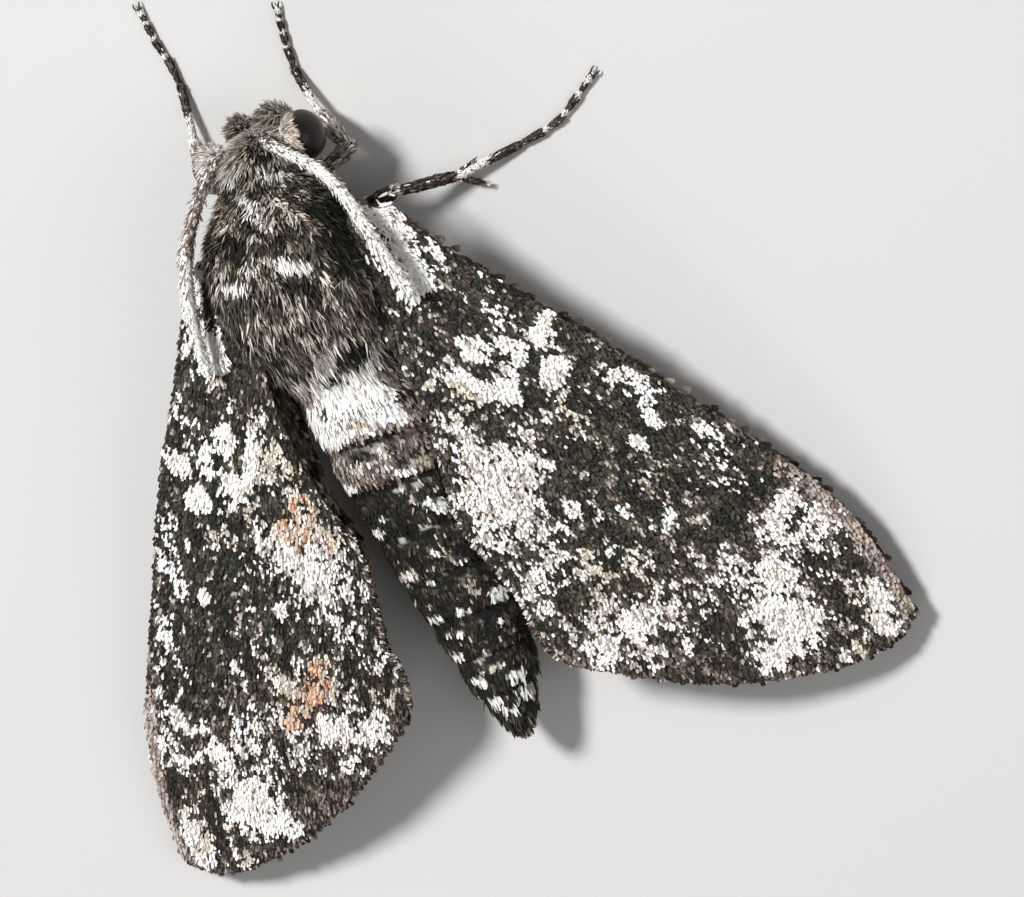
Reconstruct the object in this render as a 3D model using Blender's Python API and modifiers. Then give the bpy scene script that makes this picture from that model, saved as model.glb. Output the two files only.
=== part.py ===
"""Pawpaw sphinx moth at rest, life size. The head points along -Y and +Z is up.

It is modelled in millimetres, which suits the Boolean solver, and scaled to metres as the last step."""

import math

import bmesh
import bpy
from mathutils import Matrix, Vector

METRES_PER_MM = 0.001
GAP = 0.3  # the space that two touching nodes keep
MERGE = 0.0001
SMOOTH_ANGLE = math.radians(40)

# Forewing, measured from its hinge in the wing's own plane: P runs to the apex, Q across to the inner margin
FOREWING_LENGTH = 28.0
HINGE = Vector((3.27, -0.13, 5.42))
SWEEP = math.radians(56.2)
DROOP = math.radians(9.2)
ROLL = math.radians(6.9)
WING_THICKNESS = 0.5
VEIN_THICKNESS = 0.9
CAMBER = 0.35
CAMBER_CENTRE = 3.0
CAMBER_FALL = 0.3
ROOT_SINK = 0.35
ROOT_SINK_END = 9.0
COSTA = [(-0.6, -1.3), (1.5, -1.75), (6, -1.95), (11, -2.25), (17, -2.3), (21.5, -2.2), (24.4, -1.6),
         (26.4, -0.75), (28.0, 0.1)]
TERMEN = [(28.0, 0.1), (27.9, 1.6), (27.1, 3.2), (25.6, 4.9), (23.9, 6.5), (22.0, 7.9), (20.1, 8.9),
          (18.3, 9.8), (16.8, 10.5)]
INNER_MARGIN = [(0.2, 1.7), (3.6, 2.7), (6.5, 4.4), (8.4, 6.1), (10.2, 7.7), (12.2, 8.5), (14.0, 9.1),
                (15.5, 10.1), (16.8, 10.5)]
SCALLOP = 0.18
# Veins lie at whole shares of the way from the costa to the inner margin, and each reaches the termen at the
# crest of a scallop. Beside its place is how far from the root it starts: the cell's two edges start there,
# and the others fan out from the cell's end
FORE_SHARES = 8
FORE_VEINS = {1: 0.06, 2: 0.06, 3: 0.5, 4: 0.5, 5: 0.06, 6: 0.34, 7: 0.06}
HIND_SHARES = 6
HIND_VEINS = {1: 0.1, 2: 0.1, 3: 0.45, 4: 0.1, 5: 0.1}
VEIN_SHARE = 0.02
VEIN_END = 0.97

# Hindwing, folded flat under the forewing, in the same plane
HIND_DROP = 1.2
HIND_COSTA = [(1.6, -0.2), (6.0, -0.6), (11.0, -0.5), (15.0, 0.2), (18.2, 2.0)]
HIND_TERMEN = [(18.2, 2.0), (17.6, 4.2), (15.8, 6.2), (13.2, 7.5), (10.6, 7.2)]
HIND_INNER = [(1.2, 1.6), (3.4, 2.4), (5.8, 3.6), (8.2, 5.2), (10.6, 7.2)]

# Body forms along Y: (y, centre height, half width, height above centre, depth below it)
THORAX = [(-4.35, 4.5, 0, 0, 0), (-4.1, 4.5, 1.25, 1.1, 0.9), (-3.4, 4.55, 2.05, 1.8, 1.4),
          (-2.3, 4.6, 3.05, 2.45, 2.0), (-0.8, 4.65, 3.65, 2.85, 2.4), (0.9, 4.65, 3.9, 3.0, 2.6),
          (2.6, 4.55, 3.75, 2.8, 2.6), (4.1, 4.35, 3.35, 2.4, 2.35), (5.2, 4.15, 2.8, 1.95, 1.95),
          (6.0, 4.0, 2.0, 1.4, 1.4), (6.5, 3.9, 0, 0, 0)]
HEAD = [(-5.8, 3.5, 0, 0, 0), (-5.65, 3.5, 0.85, 0.75, 0.7), (-5.3, 3.6, 1.5, 1.2, 1.1),
        (-4.9, 3.75, 1.95, 1.55, 1.35), (-4.45, 3.9, 2.15, 1.65, 1.45), (-4.0, 4.05, 1.85, 1.4, 1.25),
        (-3.6, 4.15, 1.25, 0.95, 0.85), (-3.4, 4.2, 0, 0, 0)]
TEGULA_RADII = (1.15, 2.9, 0.62)
TEGULA_PLACE = (2.55, 0.35, 6.35)
TEGULA_TURNS = (math.radians(2), math.radians(42), math.radians(9))
# Abdomen: its girth at even steps from start to tip, and the hind edge of each of its rings
ABDOMEN_START = 4.6
ABDOMEN_TIP = 22.2
ABDOMEN_GIRTHS = [(4.0, 2.35, 1.45, 1.6), (3.65, 2.9, 1.9, 1.95), (3.2, 3.0, 2.0, 2.0),
                  (2.85, 2.92, 1.9, 1.9), (2.5, 2.75, 1.8, 1.8), (2.25, 2.5, 1.65, 1.65),
                  (2.1, 2.15, 1.45, 1.45), (2.1, 1.65, 1.15, 1.15), (2.15, 0.95, 0.75, 0.75)]
RING_EDGES = [8.0, 10.1, 12.3, 14.4, 16.5, 18.4, 20.0]
RING_STEP = 0.16
SIDE_BEND = -0.3  # the abdomen bends this far to the moth's right, most at its middle

EYE = Vector((2.3, -4.72, 3.65))
EYE_RADII = Vector((0.92, 1.15, 1.15))

PALP = [((0.62, -4.2, 2.2), 0.42), ((0.74, -4.95, 1.9), 0.5), ((0.8, -5.65, 2.2), 0.54),
        ((0.76, -6.05, 2.85), 0.5), ((0.64, -6.1, 3.5), 0.3)]
ANTENNA = [((0.95, -5.15, 4.6), 0.36), ((1.35, -5.05, 5.2), 0.33), ((2.1, -4.4, 5.38), 0.29),
           ((3.1, -3.35, 5.36), 0.3), ((3.95, -2.1, 5.65), 0.31), ((4.5, -0.5, 6.0), 0.32),
           ((4.88, 1.0, 6.08), 0.31), ((5.15, 2.4, 5.96), 0.27), ((5.25, 3.1, 5.84), 0.16)]

# Legs as they stand in the photograph: hip, trochanter, knee, ankle, and the way of the foot to its claw
LEGS = {
    "foreleg_left": ((1.1, -2.5, 3.2), (1.45, -3.1, 1.85), (3.5, -3.9, 2.3), (4.3, -5.7, 0.8),
                     [(4.27, -7.1, 0.36), (4.18, -8.9, 0.24), (4.45, -10.3, 0.22), (4.6, -11.9, 0.2)]),
    "foreleg_right": ((-1.1, -2.5, 3.2), (-1.5, -2.9, 1.9), (-3.2, -3.4, 2.1), (-1.9, -5.1, 0.95),
                      [(-1.35, -6.4, 0.42), (-1.25, -7.6, 0.24), (-1.35, -8.6, 0.22), (-1.55, -9.8, 0.2)]),
    "midleg_left": ((1.4, -0.5, 2.8), (2.2, -0.4, 1.6), (4.4, 0.2, 2.0), (6.5, 2.0, 0.62),
                    [(7.9, 3.2, 0.3), (9.2, 4.5, 0.24), (10.2, 5.7, 0.22), (11.0, 7.0, 0.2)]),
    "midleg_right": ((-1.4, -0.5, 2.8), (-2.2, -0.7, 1.6), (-4.2, -1.0, 2.0), (-6.7, -0.55, 0.64),
                     [(-8.4, -0.7, 0.34), (-10.2, -0.9, 0.24), (-11.9, -1.25, 0.22), (-14.1, -2.5, 0.2)]),
    "hindleg_left": ((1.5, 1.9, 2.8), (2.0, 2.4, 1.55), (4.2, 5.0, 1.75), (5.4, 9.3, 0.62),
                     [(5.9, 11.6, 0.3), (6.4, 13.6, 0.24), (6.9, 15.4, 0.22), (7.3, 17.0, 0.2)]),
    "hindleg_right": ((-1.5, 1.9, 2.8), (-2.0, 2.5, 1.55), (-4.3, 5.2, 1.75), (-5.7, 9.6, 0.62),
                      [(-6.3, 11.8, 0.3), (-6.9, 13.8, 0.24), (-7.5, 15.5, 0.22), (-8.0, 17.1, 0.2)]),
}
COXA_RADII = (0.75, 0.62, 0.42)
FEMUR_RADII = (0.4, 0.54, 0.36)
TIBIA_RADII = (0.34, 0.46, 0.34)
FORE_TIBIA_RADII = (0.38, 0.58, 0.36)
# The five joints of a foot end at these shares of its length
FOOT_JOINTS = [0.4, 0.6, 0.76, 0.89, 1.0]
FOOT_RADII = (0.3, 0.25)
JOINT_PINCH = 0.045
SPUR_LENGTH = 1.3
SPUR_RADIUS = 0.25
SPUR_PLACES = {"fore": (), "midl": (0.95,), "hind": (0.6, 0.95)}
SPUR_SPREAD = 0.45
SPUR_RISE = 0.2

# Rows of locks. Each row: place along Y, turns about the body in degrees (90 is the crown), length, width,
# and how far the tip stands off the body
LOCK_THICKNESS = 0.5
LOCK_SINK = 0.42
LOCK_SIDES = 6
LOCK_BANDS = 4
LOCK_FULLNESS = 0.6  # below 1 a lock is full near its ends, as a petal is
LOCK_TAPER = 0.75
THORAX_LOCKS = [
    (-3.2, (24, 46, 68, 90, 112, 134, 156), 2.0, 1.35, 0.1),
    (-2.2, (57, 79, 101, 123), 2.1, 1.35, 0.16),
    (-0.4, (66, 82, 98, 114), 2.2, 1.35, 0.3),
    (1.1, (58, 74, 90, 106, 122), 2.2, 1.35, 0.3),
    (2.5, (42, 56, 70, 83, 97, 110, 124, 138), 2.5, 1.35, 0.4),
    (4.0, (36, 54, 72, 90, 108, 126, 144), 3.1, 1.4, 0.7),
]
HEAD_LOCKS = [
    (-5.4, (90,), 1.0, 0.6, 0.08),
    (-4.75, (72, 90, 108), 0.85, 0.8, 0.2),
]
TAIL_LOCKS = [(20.3, (10, 50, 90, 130, 170, 215, 250, 290, 325), 2.3, 1.15, 0.0)]
SIDE_LOCK_TURNS = (-16, 16, 164, 196)
SIDE_LOCK = (1.75, 1.2, 0.0)
SIDE_LOCK_LEAD = 1.45  # how far ahead of its ring's hind edge a side lock is rooted

COLOURS = {
    "fur_dark": (0.055, 0.047, 0.04, 1),
    "fur_head": (0.2, 0.15, 0.13, 1),
    "wing_scale": (0.08, 0.075, 0.06, 1),
    "hindwing_scale": (0.16, 0.14, 0.12, 1),
    "eye_dark": (0.02, 0.016, 0.014, 1),
    "antenna_white": (0.75, 0.72, 0.66, 1),
    "leg_brown": (0.12, 0.095, 0.08, 1),
}


def clear_scene():
    for obj in list(bpy.data.objects):
        bpy.data.objects.remove(obj)


def collection(name):
    made = bpy.data.collections.new(name)
    bpy.context.scene.collection.children.link(made)
    return made


def material(name, roughness=0.8):
    made = bpy.data.materials.new(name)
    made.use_nodes = True
    shader = made.node_tree.nodes["Principled BSDF"]
    shader.inputs["Base Color"].default_value = COLOURS[name]
    shader.inputs["Roughness"].default_value = roughness
    shader.inputs["Metallic"].default_value = 0
    return made


def object_from(name, bm, home):
    bmesh.ops.recalc_face_normals(bm, faces=bm.faces)
    mesh = bpy.data.meshes.new(name)
    bm.to_mesh(mesh)
    bm.free()
    obj = bpy.data.objects.new(name, mesh)
    home.objects.link(obj)
    return obj


def spline_through(points, share):
    """A point of the smooth curve through points, at a share from 0 to 1 of the way."""
    spans = len(points) - 1
    place = min(max(share, 0.0), 1.0) * spans
    i = min(int(place), spans - 1)
    t = place - i
    p1, p2 = Vector(points[i]), Vector(points[i + 1])
    p0 = Vector(points[i - 1]) if i else 2 * p1 - p2
    p3 = Vector(points[i + 2]) if i + 2 <= spans else 2 * p2 - p1
    return 0.5 * (2 * p1 + (p2 - p0) * t + (2 * p0 - 5 * p1 + 4 * p2 - p3) * t**2
                  + (3 * p1 - p0 - 3 * p2 + p3) * t**3)


def ringed_form(name, stations, sides, home):
    """A closed form along Y: its first and last stations are points, and the others are oval rings."""
    bm = bmesh.new()
    bands = len(stations) - 1
    bmesh.ops.create_uvsphere(bm, u_segments=sides, v_segments=bands, radius=1)
    for vert in bm.verts:
        ring = round(math.acos(max(-1.0, min(1.0, vert.co.z))) / math.pi * bands)
        turn = math.atan2(vert.co.y, vert.co.x)
        y, centre, half_width, above, below = stations[ring]
        rise = math.sin(turn) * (above if math.sin(turn) > 0 else below)
        vert.co = Vector((half_width * math.cos(turn), y, centre + rise))
    return object_from(name, bm, home)


def tube(name, knots, home, steps=0):
    """A tube of eight sides through knots, each a point and a radius, made a mesh with its caps welded.

    With steps it follows a smooth curve through the knots, and without it runs straight between them."""
    if steps:
        places = [spline_through([p for p, _ in knots], i / steps) for i in range(steps + 1)]
        widths = [(radius, 0, 0) for _, radius in knots]
        radii = [spline_through(widths, i / steps).x for i in range(steps + 1)]
        knots = list(zip(places, radii))
    curve = bpy.data.curves.new(name, "CURVE")
    curve.dimensions = "3D"
    curve.bevel_depth = 1
    curve.bevel_resolution = 2
    curve.use_fill_caps = True
    spline = curve.splines.new("POLY")
    spline.points.add(len(knots) - 1)
    for point, (place, radius) in zip(spline.points, knots):
        point.co = (*place, 1)
        point.radius = radius
    guide = bpy.data.objects.new(name, curve)
    home.objects.link(guide)
    bpy.context.view_layer.update()
    graph = bpy.context.evaluated_depsgraph_get()
    mesh = bpy.data.meshes.new_from_object(guide.evaluated_get(graph))
    bpy.data.objects.remove(guide)
    bpy.data.curves.remove(curve)
    bm = bmesh.new()
    bm.from_mesh(mesh)
    bpy.data.meshes.remove(mesh)
    bmesh.ops.remove_doubles(bm, verts=bm.verts, dist=MERGE)
    return object_from(name, bm, home)


def apply_modifiers(obj):
    """Puts the evaluated mesh of obj in the place of its own, with its modifiers done."""
    bpy.context.view_layer.update()
    graph = bpy.context.evaluated_depsgraph_get()
    mesh = bpy.data.meshes.new_from_object(obj.evaluated_get(graph))
    old = obj.data
    obj.modifiers.clear()
    obj.data = mesh
    bpy.data.meshes.remove(old)
    return obj


def largest_body(obj):
    """Leaves only the largest closed surface of obj."""
    bm = bmesh.new()
    bm.from_mesh(obj.data)
    bmesh.ops.remove_doubles(bm, verts=bm.verts, dist=MERGE)
    left, groups = set(bm.faces), []
    while left:
        found, edge_of = set(), [left.pop()]
        while edge_of:
            face = edge_of.pop()
            found.add(face)
            for edge in face.edges:
                near = [f for f in edge.link_faces if f in left]
                left.difference_update(near)
                edge_of.extend(near)
        groups.append(found)
    groups.sort(key=lambda faces: -sum(f.calc_area() for f in faces))
    spare = [face for group in groups[1:] for face in group]
    bmesh.ops.delete(bm, geom=spare, context="FACES")
    loose = [v for v in bm.verts if not v.link_faces]
    bmesh.ops.delete(bm, geom=loose, context="VERTS")
    bm.to_mesh(obj.data)
    bm.free()
    return obj


def swollen(obj, by, home):
    """A cutter: obj grown along its normals by so many millimetres."""
    bpy.context.view_layer.update()
    cutter = bpy.data.objects.new(obj.name + "_cutter", obj.data.copy())
    home.objects.link(cutter)
    cutter.hide_render = True
    cutter.display_type = "WIRE"
    bm = bmesh.new()
    bm.from_mesh(cutter.data)
    bm.normal_update()
    moved = [(v, v.co + v.normal * by) for v in bm.verts]
    for vert, place in moved:
        vert.co = place
    bm.to_mesh(cutter.data)
    bm.free()
    return cutter


def cut(obj, cutter):
    boolean = obj.modifiers.new("clear_of_" + cutter.name, "BOOLEAN")
    boolean.operation = "DIFFERENCE"
    boolean.solver = "EXACT"
    boolean.object = cutter
    apply_modifiers(obj)
    return largest_body(obj)


def join(obj, pieces):
    """Fuses closed pieces into obj with one Boolean union, and removes them."""
    joined = bpy.data.collections.new(obj.name + "_pieces")
    for piece in pieces:
        joined.objects.link(piece)
    boolean = obj.modifiers.new("join_pieces", "BOOLEAN")
    boolean.operation = "UNION"
    boolean.solver = "EXACT"
    boolean.operand_type = "COLLECTION"
    boolean.collection = joined
    apply_modifiers(obj)
    for piece in pieces:
        bpy.data.objects.remove(piece)
    bpy.data.collections.remove(joined)
    return largest_body(obj)


def flat_foot(obj):
    """Cuts off what is below the floor, which leaves small flats for the moth to stand on."""
    bm = bmesh.new()
    bm.from_mesh(obj.data)
    whole = bm.verts[:] + bm.edges[:] + bm.faces[:]
    made = bmesh.ops.bisect_plane(bm, geom=whole, dist=MERGE, plane_co=(0, 0, 0), plane_no=(0, 0, -1),
                                  clear_outer=True)
    rim = [e for e in made["geom_cut"] if isinstance(e, bmesh.types.BMEdge)]
    bmesh.ops.holes_fill(bm, edges=rim, sides=0)
    bmesh.ops.triangulate(bm, faces=bm.faces)
    bm.to_mesh(obj.data)
    bm.free()
    return obj


def wing_frame(side):
    """The hinge, the way to the apex, the way to the inner margin, and the wing's upper normal."""
    hinge = Vector((side * HINGE.x, HINGE.y, HINGE.z))
    along = Vector((side * math.cos(SWEEP) * math.cos(DROOP), math.sin(SWEEP) * math.cos(DROOP),
                    -math.sin(DROOP)))
    level = Vector((-side * math.sin(SWEEP), math.cos(SWEEP), 0))
    normal = along.cross(level)
    if normal.z < 0:
        normal = -normal
    across = math.cos(ROLL) * level + math.sin(ROLL) * normal
    upper = along.cross(across)
    return hinge, along, across, upper if upper.z > 0 else -upper


def wing_lift(p, q):
    """How far the wing's middle surface rises from its plane: a low arch that sinks at the costa."""
    reach = min(max(p / FOREWING_LENGTH, 0.0), 1.0)
    arch = CAMBER * math.sin(math.pi * reach) * math.cos(CAMBER_FALL * (q - CAMBER_CENTRE))
    return arch - ROOT_SINK * max(0.0, -q) * max(0.0, 1 - p / ROOT_SINK_END)


def wing_point(side, p, q, lift):
    hinge, along, across, upper = wing_frame(side)
    return hinge + p * along + q * across + lift * upper


def patch_point(u, v, costa, termen, inner):
    """A point of the sheet between the costa (v 0), the inner margin (v 1) and the termen (u 1)."""
    root = Vector(costa[0]).lerp(Vector(inner[0]), v)
    edge_u = spline_through(costa, u).lerp(spline_through(inner, u), v)
    edge_v = root.lerp(spline_through(termen, v), u)
    corners = root.lerp(Vector(termen[0]).lerp(Vector(termen[-1]), v), u)
    return edge_u + edge_v - corners


def grid_stops(shares):
    """Where the wing's lines lie across it: three close ones for each vein, and one between two veins."""
    stops = [0.0, 1.0]
    for k in range(shares):
        stops.append((k + 0.5) / shares)
        if k:
            stops.extend((k / shares - VEIN_SHARE, k / shares, k / shares + VEIN_SHARE))
    return sorted(stops)


def vein_weight(u, v, shares, veins):
    """1 on a vein's own line, from its start until just before the edge, and 0 elsewhere."""
    place = round(v * shares)
    on_line = abs(v * shares - place) < 1e-6 and place in veins
    return 1.0 if on_line and veins[place] <= u < VEIN_END else 0.0


def wing(name, side, outline, base_lift, columns, shares, veins, home):
    """A wing sheet: a grid laid between its three margins, thickened, with the veins as ridges."""
    costa, termen, inner = outline
    stops = grid_stops(shares)
    rows = len(stops) - 1
    bm = bmesh.new()
    bmesh.ops.create_grid(bm, x_segments=columns, y_segments=rows, size=0.5)
    weights = {}
    for vert in bm.verts:
        u = vert.co.x + 0.5
        v = stops[round((vert.co.y + 0.5) * rows)]
        place = patch_point(u, v, costa, termen, inner)
        if round(u * columns) == columns:
            inward = -SCALLOP * (1 - abs(math.cos(math.pi * shares * v)))
            place += inward * (spline_through(termen, v) - Vector(inner[3])).normalized()
        lift = base_lift + wing_lift(place.x, place.y)
        vert.co = wing_point(side, place.x, place.y, lift)
        weights[vert.index] = vein_weight(u, v, shares, veins)
    bmesh.ops.triangulate(bm, faces=bm.faces)
    obj = object_from(name, bm, home)
    ridges = obj.vertex_groups.new(name="veins")
    for index, weight in weights.items():
        ridges.add([index], weight, "REPLACE")
    solidify = obj.modifiers.new("membrane", "SOLIDIFY")
    solidify.thickness = VEIN_THICKNESS
    solidify.offset = 0
    solidify.vertex_group = ridges.name
    solidify.thickness_vertex_group = WING_THICKNESS / VEIN_THICKNESS
    apply_modifiers(obj)
    obj.vertex_groups.clear()
    return obj


def abdomen_girth(y):
    """Centre height, half width, height above and depth below the centre of the abdomen at y."""
    share = (y - ABDOMEN_START) / (ABDOMEN_TIP - ABDOMEN_START)
    heights = spline_through([girth[:3] for girth in ABDOMEN_GIRTHS], share)
    depths = spline_through([girth[1:] for girth in ABDOMEN_GIRTHS], share)
    return heights.x, heights.y, heights.z, depths.z


def abdomen_stations():
    """Seven rings, each of which laps a little over the next, and a blunt tip."""
    stations = [(ABDOMEN_START, abdomen_girth(ABDOMEN_START)[0], 0, 0, 0)]
    start = ABDOMEN_START + 0.25
    for edge in RING_EDGES:
        for share, proud in ((0.0, 0.0), (0.55, RING_STEP * 0.8), (0.93, RING_STEP)):
            y = start + (edge - start) * share
            centre, half_width, above, below = abdomen_girth(y)
            stations.append((y, centre, half_width + proud, above + proud, below + proud))
        start = edge
    for share in (0.0, 0.55, 0.9, 1.0):
        y = RING_EDGES[-1] + (ABDOMEN_TIP - RING_EDGES[-1]) * share
        stations.append((y, *abdomen_girth(y)))
    stations.append((ABDOMEN_TIP + 0.25, abdomen_girth(ABDOMEN_TIP)[0], 0, 0, 0))
    return stations


def bent(obj):
    """Bends a piece of the abdomen to the moth's right."""
    for vert in obj.data.vertices:
        share = (vert.co.y - ABDOMEN_START) / (ABDOMEN_TIP - ABDOMEN_START)
        vert.co.x += SIDE_BEND * math.sin(math.pi * min(max(share, 0.0), 1.0))
    return obj


def skin_point(stations, y, turn):
    """The point of a ringed form at a place along Y and a turn about it."""
    for near, far in zip(stations, stations[1:]):
        if near[0] <= y <= far[0]:
            break
    share = (y - near[0]) / (far[0] - near[0])
    centre, half_width, above, below = [a + (b - a) * share for a, b in zip(near[1:], far[1:])]
    rise = math.sin(turn) * (above if math.sin(turn) > 0 else below)
    return Vector((half_width * math.cos(turn), y, centre + rise))


def skin_frame(stations, y, turn):
    """That point, with the way to the tail along the skin there, and the way out of it."""
    step = 0.7
    tailward = skin_point(stations, y + step, turn) - skin_point(stations, y - step, turn)
    around = skin_point(stations, y, turn + 0.05) - skin_point(stations, y, turn - 0.05)
    outward = tailward.cross(around).normalized()
    return skin_point(stations, y, turn), tailward.normalized(), outward


def lock(stations, y, turn, length, width, stand, home):
    """A flat, tapered lock of scales, rooted in the form and bent to lie along it towards the tail."""
    root, tailward, outward = skin_frame(stations, y, turn)
    sideways = tailward.cross(outward)
    bm = bmesh.new()
    bmesh.ops.create_uvsphere(bm, u_segments=LOCK_SIDES, v_segments=LOCK_BANDS, radius=1)
    for vert in bm.verts:
        share = math.acos(max(-1.0, min(1.0, vert.co.z))) / math.pi
        turn_here = math.atan2(vert.co.y, vert.co.x)
        girth = math.sin(math.pi * share) ** LOCK_FULLNESS * (1.15 - LOCK_TAPER * share)
        height = -LOCK_SINK + (LOCK_SINK + LOCK_THICKNESS * 0.3) * math.sin(math.pi * min(share, 0.5))
        height += stand * max(0.0, share - 0.5) * 2
        spine = root + tailward * length * share + outward * height
        breadth = sideways * math.cos(turn_here) * width / 2
        depth = outward * math.sin(turn_here) * LOCK_THICKNESS / 2
        vert.co = spine + (breadth + depth) * girth
    return object_from("lock", bm, home)


def lock_rows(stations, rows, home):
    locks = []
    for y, turns, length, width, stand in rows:
        for turn in turns:
            locks.append(lock(stations, y, math.radians(turn), length, width, stand, home))
    return locks


def ball(name, centre, radii, home, rings=10, sides=14):
    bm = bmesh.new()
    bmesh.ops.create_uvsphere(bm, u_segments=sides, v_segments=rings, radius=1)
    for vert in bm.verts:
        vert.co = [c + v * r for c, v, r in zip(centre, vert.co, radii)]
    return object_from(name, bm, home)


def mirrored(knots, side):
    return [((side * x, y, z), radius) for (x, y, z), radius in knots]


def shaft(start, end, radii, home):
    """One straight joint of a leg, thickest or thinnest at its middle."""
    start, end = Vector(start), Vector(end)
    knots = [(start, radii[0]), (start.lerp(end, 0.5), radii[1]), (end, radii[2])]
    return tube("shaft", knots, home, steps=4)


def foot_knots(ankle, way):
    """A foot of five joints, each a little wider at its end, with a pinch after it."""
    path = [ankle, *way]
    knots = [(spline_through(path, 0), FOOT_RADII[0])]
    for i, end in enumerate(FOOT_JOINTS):
        radius = FOOT_RADII[0] + (FOOT_RADII[1] - FOOT_RADII[0]) * end
        knots.append((spline_through(path, end - 0.03), radius + JOINT_PINCH * (i < 4)))
        if i < 4:
            knots.append((spline_through(path, end + 0.02), radius))
    knots.append((spline_through(path, 1), FOOT_RADII[1] * 0.7))
    return knots


def spur(root, way, home):
    """A spur of the tibia: a short spine that tapers to its tip."""
    knots = [(root, SPUR_RADIUS), (root + way * SPUR_LENGTH * 0.6, SPUR_RADIUS * 0.75),
             (root + way * SPUR_LENGTH, SPUR_RADIUS * 0.3)]
    return tube("spur", knots, home)


def leg(name, home):
    hip, trochanter, knee, ankle, way = LEGS[name]
    foot = tube(name, foot_knots(ankle, way), home)
    fore = name.startswith("fore")
    pieces = [shaft(hip, trochanter, COXA_RADII, home), shaft(trochanter, knee, FEMUR_RADII, home),
              shaft(knee, ankle, FORE_TIBIA_RADII if fore else TIBIA_RADII, home)]
    shin = (Vector(ankle) - Vector(knee)).normalized()
    level = shin.cross(Vector((0, 0, 1))).normalized()
    for share in SPUR_PLACES[name[:4]]:
        for side in (-1, 1):
            root = Vector(knee).lerp(Vector(ankle), share)
            spread = (shin + SPUR_SPREAD * side * level + Vector((0, 0, SPUR_RISE))).normalized()
            pieces.append(spur(root, spread, home))
    return join(foot, pieces)


def tegula(side, home):
    """The raised plate of scales over the wing's root."""
    plate = ball("tegula", (0, 0, 0), TEGULA_RADII, home)
    pitch, roll, yaw = TEGULA_TURNS
    plate.rotation_euler = (pitch, side * roll, side * yaw)
    plate.location = (side * TEGULA_PLACE[0], *TEGULA_PLACE[1:])
    bpy.context.view_layer.update()
    plate.data.transform(plate.matrix_world)
    plate.matrix_world.identity()
    return plate


def settle(nodes):
    """Puts the origin on the floor under the middle of the moth's box, and scales the moth to metres."""
    places = [vert.co for node in nodes for vert in node.data.vertices]
    middle = [(min(p[axis] for p in places) + max(p[axis] for p in places)) / 2 for axis in (0, 1)]
    to_place = Matrix.Scale(METRES_PER_MM, 4) @ Matrix.Translation((-middle[0], -middle[1], 0))
    for node in nodes:
        node.data.transform(to_place)


def main():
    clear_scene()
    moth = collection("pawpaw_sphinx_moth")
    cutters = collection("cutters")
    cutters.hide_render = True

    thorax = ringed_form("thorax", THORAX, 20, moth)
    join(thorax, [tegula(side, moth) for side in (-1, 1)])
    around_thorax = swollen(thorax, GAP, cutters)
    join(thorax, lock_rows(THORAX, THORAX_LOCKS, moth))

    rings = abdomen_stations()
    tail = cut(bent(ringed_form("abdomen", rings, 20, moth)), around_thorax)
    length, width, stand = SIDE_LOCK
    around_abdomen = swollen(tail, GAP + LOCK_THICKNESS * 0.65 + stand, cutters)
    side_rows = [(edge - SIDE_LOCK_LEAD, SIDE_LOCK_TURNS, length, width, stand) for edge in RING_EDGES[1:-1]]
    join(tail, [bent(tuft) for tuft in lock_rows(rings, side_rows + TAIL_LOCKS, moth)])

    head = cut(ringed_form("head", HEAD, 18, moth), around_thorax)
    sides = {"left": 1, "right": -1}
    eyes, antennae, palps = [], [], []
    for word, side in sides.items():
        centre = (side * EYE.x, EYE.y, EYE.z)
        eyes.append(ball("eye_" + word, centre, EYE_RADII, moth))
        socket = ball("socket_" + word, centre, [radius + GAP for radius in EYE_RADII], cutters)
        head = cut(head, socket)
    around_head = swollen(head, GAP, cutters)
    join(head, lock_rows(HEAD, HEAD_LOCKS, moth))
    for word, side in sides.items():
        feeler = tube("antenna_" + word, mirrored(ANTENNA, side), moth, steps=22)
        antennae.append(cut(feeler, around_head))
        palp = tube("palp_" + word, mirrored(PALP, side), moth, steps=10)
        palps.append(cut(palp, around_head))

    forewings, hindwings = [], []
    for word, side in sides.items():
        margins = (COSTA, TERMEN, INNER_MARGIN)
        fore = wing("forewing_" + word, side, margins, 0, 13, FORE_SHARES, FORE_VEINS, moth)
        forewings.append(cut(fore, around_thorax))
        margins = (HIND_COSTA, HIND_TERMEN, HIND_INNER)
        hind = wing("hindwing_" + word, side, margins, -HIND_DROP, 9, HIND_SHARES, HIND_VEINS, moth)
        hindwings.append(cut(cut(hind, around_thorax), around_abdomen))

    legs = [flat_foot(cut(leg(name, moth), around_thorax)) for name in LEGS]

    finishes = [([thorax, tail], "fur_dark"), ([head, *palps], "fur_head"), (eyes, "eye_dark"),
                (antennae, "antenna_white"), (forewings, "wing_scale"), (hindwings, "hindwing_scale"),
                (legs, "leg_brown")]
    for pieces, name in finishes:
        finish = material(name, 0.25 if name == "eye_dark" else 0.8)
        for piece in pieces:
            piece.data.materials.clear()
            piece.data.materials.append(finish)
            piece.data.shade_smooth()
            piece.data.set_sharp_from_angle(angle=SMOOTH_ANGLE)
    settle([piece for pieces, _ in finishes for piece in pieces])
    for cutter in list(cutters.objects):
        bpy.data.objects.remove(cutter)


main()
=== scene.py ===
"""Looks of the resting pawpaw sphinx moth: skin, pile, wing scales, eyes, feelers and legs.

Everything is laid out in the moth's own millimetres, head towards -Y, and set on the frame at the end of each
piece. Wings are laid out in P, from the hinge to the apex, and Q, from the costa to the inner margin."""

import math

import bmesh
import bpy
import numpy as np
from mathutils import Matrix, Vector, kdtree


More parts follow.
